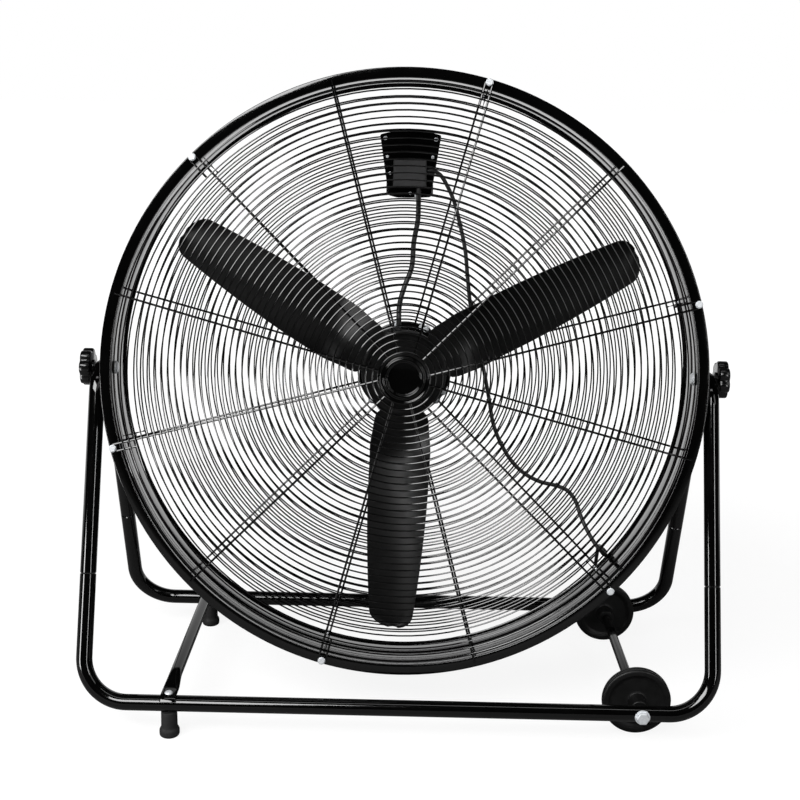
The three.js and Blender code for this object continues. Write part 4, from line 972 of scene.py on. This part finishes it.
def speed_knob():
    """A pointer knob with a fluted skirt."""
    seat = HOUSING_REAR + CLEAR
    skirt = [(0, seat - 8), (4, seat - 8), (4, seat), (17, seat), (17, seat + 4), (14, seat + 13.5),
             (12.5, seat + 15), (0, seat + 15)]
    knob = turned("knob_skirt", rounded(skirt, 1), 64)
    pointer = soften(box("knob_pointer", (0, seat + 15, 7), (4, 2, 14)), 0.6)
    flute = box("knob_flute", (15.6, seat + 8.4, 0), (2, 9, 1.2))
    flutes = round_copies(soften(flute, 0.4, 2), "black_plastic", 24, 0, 15)
    dress(joined("speed_dial", knob, pointer, flutes), "black_plastic", "speed_knob", "speed_knob",
          place=DRUM @ shift(SWITCH_X, 0, HOUSING_MIDDLE))


switch_plate()
terminal_cover()
switch_housing()
dial_marks()
speed_knob()

# ---- leads held by the drum ----
MOTOR_LEAD = 4.3
MOTOR_LEAD_ROUTE = (
    (18, 68, 308.7), (18, 68, 302), (18.3, 71, 290), (18.5, 78, 275), (18, 84, 255), (12, 87, 218),
    (9, 87, 174), (-2, 84, 143), (-9, 75, 118), (-11, 66, 101), (-11, 63, 90),
    (-11, 63, MOTOR_RADIUS + CLEAR))
MAINS_ROUTE = (
    (SWITCH_X + 28.3, 70, 337), (42, 70, 337), (54, 72, 331), (66, 77, 314), (79, 82, 287), (90, 87, 249),
    (100, 89, 206), (105, 91, 163), (111, 92, 115), (123, 92.5, 58), (138, 93, -3), (148, 93, -51),
    (156, 92.5, -92), (170, 91.5, -126), (190, 90, -157), (213, 88.5, -178), (240, 86.5, -191),
    (268, 84.5, -197), (287, 81.5, -205), (300, 77, -221), (308, 70, -243), (318, 59, -266), (331, 48, -288),
    (343, 43, -302), (350.5, 48, -309), (GLAND.x, 60, GLAND.z), (GLAND.x, GLAND_FRONT - CLEAR, GLAND.z))
TIED_AT = (5, 7, 9, 11, 13, 15, 17)                   # points of the route
TIE_LOOP = 4.4                  # half the width of a tie's loop
TIE_BAND = 1.5                  # half the width and half the thickness of its band
TIE_SHEET = 0.6


def held_leads():
    """The motor's lead from the terminals, and the mains lead tied along the rear guard."""
    dress(tube("motor_flex", flowing(MOTOR_LEAD_ROUTE), MOTOR_LEAD, 20), "cord_sheath", "drum",
          "motor_lead")
    dress(tube("mains_flex", flowing(MAINS_ROUTE), MAINS, 20), "cord_sheath", "drum", "mains_lead")
    for number, i in enumerate(TIED_AT):
        here = Vector(MAINS_ROUTE[i])
        ahead = (Vector(MAINS_ROUTE[i + 1]) - Vector(MAINS_ROUTE[i - 1])).normalized()
        beside = ahead.cross(BACK).normalized()
        outside = GUARD_SEAT + dome(math.hypot(here.x, here.z)) + 2 * RIB_WIRE + 2 * RING_WIRE
        inside = here.y - MAINS - 0.9
        middle = Vector((here.x, (inside + outside) / 2, here.z))
        turns = [TAU * k / 40 for k in range(41)]
        loop = [middle + beside * (TIE_LOOP * math.cos(a)) + BACK * ((outside - inside) / 2 * math.sin(a))
                for a in turns]
        stations = [(p, ahead, (p - middle).normalized(), TIE_BAND, TIE_SHEET) for p in loop]
        dress(lofted(f"lead_tie_{number + 1}", stations, 10), "black_plastic", "drum")


def cord_gland():
    """The rubber gland between the rear lip and the guard, with its ribbed strain relief."""
    back = GLAND_FRONT + GLAND_LENGTH
    outline = [(0, GLAND_FRONT), (4.8, GLAND_FRONT), (5.8, GLAND_FRONT + 1), (5.8, GLAND_FRONT + 5),
               (4.8, GLAND_FRONT + 6), (4.8, 85.7), (5.6, 87.5)]
    for k in range(5):
        along = 89 + k * 3.6
        size = 5.6 - 0.28 * k
        outline += [(size, along), (size, along + 1.8), (size - 1, along + 2.2), (size - 1, along + 3.2)]
    outline += [(MAINS + 0.8, back), (0, back)]
    dress(turned("strain_relief", rounded(outline, 0.4, 2), 40), "black_rubber", "drum", "cord_gland",
          place=DRUM @ shift(GLAND.x, 0, GLAND.z))


held_leads()
cord_gland()


# ---- tilt pivots ----
def tilt_knob(side):
    """A seven-lobed hand knob with a dished face and a plated insert."""
    lobes, depth, radius, width, start = 7, 4, 31, 17, 514.5
    stations = ((0, 2.4, 0), (0.6, 1.0, 0), (2.4, 0, 0), (width - 2.4, 0, 0), (width - 0.8, 0.9, 0),
                (width - 0.1, 2.4, 0), (width, 5, 0), (width - 0.6, 9, 0.6), (width - 2.4, 15, 1))
    sides = 140
    points = []
    for along, inset, plain in stations:
        for angle in [TAU * k / sides for k in range(sides)]:
            valley = depth * (0.5 - 0.5 * math.cos(lobes * angle)) ** 2
            r = radius - inset - valley * (1 - plain)
            points.append((start + along, r * math.cos(angle), r * math.sin(angle)))
    boss = moved(turned("knob_boss", rounded(band(4.3, 12, 511.5, 516), 0.8), 48), SIDEWAYS)
    knob = f"{SIDE[side]}_tilt_knob"
    place = DRUM @ ROUND if side < 0 else DRUM
    made = joined(f"{SIDE[side]}_hand_knob", skinned("knob_body", points, sides), boss)
    dress(made, "black_plastic", knob, knob, place=place)
    insert = [(0, 528.6), (5, 528.6), (5, 530), (3.6, 530.8), (0, 531.2)]
    cap = moved(turned(f"{SIDE[side]}_knob_insert", rounded(insert, 0.5), 32), SIDEWAYS)
    dress(cap, "zinc_plate", knob, place=place)


def pivot(side):
    """A carriage bolt out through the drum's wall, and the spacer between the wall and the side tube."""
    place = DRUM @ ROUND if side < 0 else DRUM
    head = [(0, 473), (7.6, 473), (11, 477), (11, 478.4), (4, 478.4), (4, 524), (0, 524)]
    bolt = moved(turned(f"{SIDE[side]}_carriage_bolt", rounded(head, 0.8), 40), SIDEWAYS)
    dress(bolt, "zinc_plate", "drum", f"{SIDE[side]}_pivot_bolt", place=place)
    spacer = rounded(band(4.3, 12, 482.3, 485.5), 0.7)
    dress(moved(turned(f"{SIDE[side]}_pivot_spacer", spacer, 48), SIDEWAYS), "black_plastic", "drum",
          f"{SIDE[side]}_pivot_washer", place=place)


for knob_side in (-1, 1):
    tilt_knob(knob_side)
    pivot(knob_side)


# ---- stand ----
def leg_point(x, along, side):
    """A point of the stand: across, and along its leg from the base tube; side is -1 front, 1 rear."""
    return Vector((x, side * (HALF_STAND - along * math.sin(LEAN)), TUBE_HEIGHT + along * math.cos(LEAN)))


def stand_tube(name, path, node):
    """A bent tube whose ends are a little rounded."""
    edge = 1.2
    lead_in = (path[1] - path[0]).normalized() * edge
    lead_out = (path[-1] - path[-2]).normalized() * edge
    full = [path[0], path[0] + lead_in, *path[1:-1], path[-1] - lead_out, path[-1]]
    radii = [TUBE - edge, *[TUBE] * (len(full) - 2), TUBE - edge]
    dress(tube(name, full, radii, 40), "black_enamel", "stand", node)


def base_tube(side):
    """One U of tube: up at both ends, flat along the floor."""
    bend_x = HALF_WIDTH - BASE_BEND
    up_leg = Vector((0, -side * math.sin(LEAN), math.cos(LEAN)))
    left, right = leg_point(-bend_x, BASE_BEND, side), leg_point(bend_x, BASE_BEND, side)
    path = [leg_point(-HALF_WIDTH, JOINT_ALONG, side), *arc(left, ACROSS, up_leg, BASE_BEND, 180, 270, 24),
            *arc(right, ACROSS, up_leg, BASE_BEND, 270, 360, 24), leg_point(HALF_WIDTH, JOINT_ALONG, side)]
    stand_tube(f"{END[side]}_base_bend", path, f"{END[side]}_base_tube")


def side_tube(side):
    """The inverted U that carries the drum's pivot."""
    x = side * HALF_WIDTH
    start = JOINT_ALONG + CLEAR
    sweep = 90 - math.degrees(LEAN)
    crown = arc(Vector((x, 0, CROWN_CENTRE)), BACK, UP, CROWN_BEND, 90 + sweep, 90 - sweep, 36)
    path = [leg_point(x, start, -1), *crown, leg_point(x, start, 1)]
    stand_tube(f"{SIDE[side]}_side_frame", path, f"{SIDE[side]}_side_tube")


def cross_member():
    """A round tube with pressed ends that lie over the base tubes."""
    top = TUBE_HEIGHT + TUBE + CLEAR + PRESSED_SHEET
    wrap = top - TUBE_HEIGHT
    half = []
    for k in range(7):
        angle = math.radians(WRAP_FROM + (90 - WRAP_FROM) * k / 6)
        half.append((-HALF_STAND - wrap * math.cos(angle), TUBE_HEIGHT + wrap * math.sin(angle),
                     PRESSED_HALF, PRESSED_SHEET))
    flat, swell = HALF_STAND - 15, 52
    for k in range(15):
        y = -flat + swell * k / 14
        share = ease(y, -flat, -flat + swell)
        half.append((y, top + 4.8 * share, PRESSED_HALF + (CROSS_TUBE - PRESSED_HALF) * share,
                     PRESSED_SHEET + (CROSS_TUBE - PRESSED_SHEET) * share))
    whole = half + [(-y, z, wide, high) for y, z, wide, high in reversed(half)]
    stations = []
    for i, (y, z, wide, high) in enumerate(whole):
        before, after = whole[max(i - 1, 0)], whole[min(i + 1, len(whole) - 1)]
        ahead = Vector((0, after[0] - before[0], after[1] - before[1])).normalized()
        stations.append((Vector((CROSS_X, y, z)), ACROSS, ACROSS.cross(ahead), wide, high))
    dress(lofted("cross_tube", stations, 40), "black_enamel", "stand", "cross_member")


def foot(side):
    """A flared rubber foot pushed on to the cross member's bolt, under the end of a base tube."""
    outline = [(0, 0), (13.5, 0), (15.4, 1.6), (16, 4), (16, 10), (15.2, 12.6), (13.4, 14.6), (13, 18),
               (12.7, 42), (0, 42)]
    seat = TUBE_HEIGHT + TUBE + CLEAR + 4
    head = [(0, 28), (3, 28), (3, seat), (6.4, seat), (6.4, seat + 1), (4.6, seat + 3), (0, seat + 3.6)]
    place = shift(CROSS_X, side * HALF_STAND, 0) @ UPRIGHT
    dress(turned(f"{END[side]}_rubber_foot", rounded(outline, 1, 3), 64), "black_rubber", "stand",
          f"{END[side]}_foot", place=place)
    dress(turned(f"{END[side]}_cross_screw", rounded(head, 0.4), 40), "zinc_plate", "stand",
          f"{END[side]}_cross_bolt", place=place)


for stand_side in (-1, 1):
    base_tube(stand_side)
    side_tube(stand_side)
    foot(stand_side)
cross_member()


# ---- wheels ----
def wheel(name, y):
    """A solid moulded wheel: rounded tread, sunk face, long hub towards the middle of the stand."""
    outer = HALF_STAND - TUBE - CLEAR
    front_hub, back_hub = -(outer + FRONT_WHEEL_Y), outer - REAR_WHEEL_Y
    outline = [(BORE, front_hub), (13, front_hub), (14, front_hub + 2), (14, -5), (18, -4), (40, -4),
               (44, -6), (46, -8), (53, -8), (55, -6), (55, -1.2), (54.4, -0.6), (54.4, 0.6), (55, 1.2),
               (55, 6), (53, 8), (46, 8), (44, 6), (40, 4), (18, 4), (14, 5), (14, back_hub - 1),
               (13, back_hub), (BORE, back_hub)]
    dress(turned(name + "_tyre", rounded(outline, 1.2)), "tyre_rubber", name, name,
          place=shift(AXLE_X, y, TUBE_HEIGHT))


def axle():
    """A bolt right through both base tubes, with its nut at the back and a spacer between the wheels."""
    face = HALF_STAND + TUBE + CLEAR
    place = shift(AXLE_X, 0, TUBE_HEIGHT)
    hexagon = [(0, -face - 7), (9.2, -face - 7), (10.5, -face - 6), (10.5, -face), (0, -face)]
    washer = rounded(band(0, 12, -face - 0.6, -face + 1), 0.4)
    shank = rounded(band(0, 6, -face - 3, face + 7.3), 0.6)
    bolt = joined("axle_bolt", turned("axle_head", hexagon, 6), turned("axle_washer", washer, 48),
                  turned("axle_shank", shank, 32))
    dress(bolt, "zinc_plate", "stand", "axle_rod", place=place)
    nut = [(BORE, face), (10.5, face), (10.5, face + 6), (9.2, face + 7), (BORE, face + 7)]
    dress(turned("axle_lock_nut", nut, 6), "zinc_plate", "stand", "axle_nut", place=place)
    low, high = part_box("axle_spacer")
    sleeve = rounded(band(BORE, 8, low.y / MM, high.y / MM), 0.4)
    dress(turned("wheel_spacer", sleeve, 48), "black_enamel", "stand", "axle_spacer", place=place)


wheel("front_wheel", FRONT_WHEEL_Y)
wheel("rear_wheel", REAR_WHEEL_Y)
axle()


# ---- the pieces inside the motor and the switch keep their CAD shape ----
for node, paint in (("motor_stator", "laminated_core"), ("rotor_core", "laminated_core"),
                    ("front_bearing", "machined_steel"), ("rear_bearing", "machined_steel"),
                    ("motor_shaft", "machined_steel"), ("run_capacitor", "grey_plastic")):
    nodes[node].data.materials.clear()
    nodes[node].data.materials.append(FINISH[paint])


# ---- studio ----
FLOOR_RADIUS = 60000            # millimetres
FLOOR_GLOW = 0.88               # of the floor under the fan, to the eye; it is white further out
AIR_LIGHT = 0.2                 # of the plain light from all round
FAN_MIDDLE = (0, 0, 0.5)


def emptied(holder):
    """The tree of a material or a world, without its nodes."""
    holder.use_nodes = True
    holder.node_tree.nodes.clear()
    return holder.node_tree


def ray_kinds(tree, place, low, high):
    """Whether a ray is mirrored, how far along Y it is from low to high, and whether the eye sees by it."""
    path = add(tree, "ShaderNodeLightPath").outputs
    split = add(tree, "ShaderNodeSeparateXYZ", {"Vector": place})
    behind = add(tree, "ShaderNodeMapRange", {"Value": split.outputs["Y"], "From Min": low, "From Max": high})
    through = add(tree, "ShaderNodeMath", {0: path["Is Camera Ray"], 1: path["Is Transmission Ray"]},
                  operation="MAXIMUM")
    return path["Is Glossy Ray"], behind, through


def floor():
    """A pale floor that stays white to the eye, and behind the fan to reflections, and keeps its shadow."""
    made = moved(turned("studio_floor", band(0, FLOOR_RADIUS, 0, -10)), UPRIGHT)
    material = bpy.data.materials.new("studio_floor")
    tree = emptied(material)
    place = add(tree, "ShaderNodeTexCoord").outputs["Object"]
    glossy, behind, through = ray_kinds(tree, place, low=0.3, high=1.2)
    mirrored = add(tree, "ShaderNodeMath", {0: glossy, 1: behind}, operation="MULTIPLY")
    seen = add(tree, "ShaderNodeMath", {0: through, 1: mirrored}, operation="MAXIMUM")
    away = add(tree, "ShaderNodeVectorMath", {0: place}, operation="LENGTH")
    fade = add(tree, "ShaderNodeMapRange", {
        "Value": away.outputs["Value"], "From Min": 1.0, "From Max": 2.2, "To Min": FLOOR_GLOW})
    strength = add(tree, "ShaderNodeMath", {0: seen, 1: fade}, operation="MULTIPLY")
    paper = add(tree, "ShaderNodeBsdfDiffuse", {"Color": colour("747474")})
    glow = add(tree, "ShaderNodeEmission", {"Color": colour("FFFFFF"), "Strength": strength})
    add(tree, "ShaderNodeOutputMaterial", {"Surface": add(tree, "ShaderNodeAddShader", {0: paper, 1: glow})})
    made.data.materials.append(material)


def studio_air():
    """White behind the fan for the eye and for reflections, dim in front of it, and plain soft light."""
    world = bpy.context.scene.world = bpy.data.worlds.new("studio_air")
    tree = emptied(world)
    direction = add(tree, "ShaderNodeTexCoord").outputs["Generated"]
    glossy, behind, through = ray_kinds(tree, direction, low=0.75, high=1.0)
    soft = add(tree, "ShaderNodeMix", {0: glossy, 2: AIR_LIGHT, 3: behind})
    strength = add(tree, "ShaderNodeMix", {0: through, 2: soft, 3: 1.0})
    glow = add(tree, "ShaderNodeBackground", {"Color": colour("FFFFFF"), "Strength": strength})
    add(tree, "ShaderNodeOutputWorld", {"Surface": glow})


def lamp(name, place, aim, size, watts):
    """A soft box of (width, height) in metres."""
    light = bpy.data.lights.new(name, "AREA")
    light.shape = "RECTANGLE"
    light.size, light.size_y = size
    light.energy = watts
    made = bpy.data.objects.new(name, light)
    made.location = place
    made.rotation_euler = (Vector(aim) - Vector(place)).to_track_quat("-Z", "Y").to_euler()
    bpy.context.scene.collection.objects.link(made)


floor()
studio_air()
lamp("key_box", (-2.3, -3.5, 3.9), FAN_MIDDLE, (4.2, 2.2), 290)
lamp("fill_box", (3.3, -2.6, 3.2), FAN_MIDDLE, (1.2, 2.2), 12)
lamp("top_box", (0.0, -0.9, 3.2), FAN_MIDDLE, (2.6, 0.3), 6)
lamp("right_strip", (1.55, -2.0, 1.0), FAN_MIDDLE, (0.2, 1.3), 10)
lamp("left_strip", (-1.3, -0.84, 0.3), (-0.53, -0.2, 0.3), (0.22, 0.5), 5)
bpy.context.scene.view_settings.view_transform = "Standard"
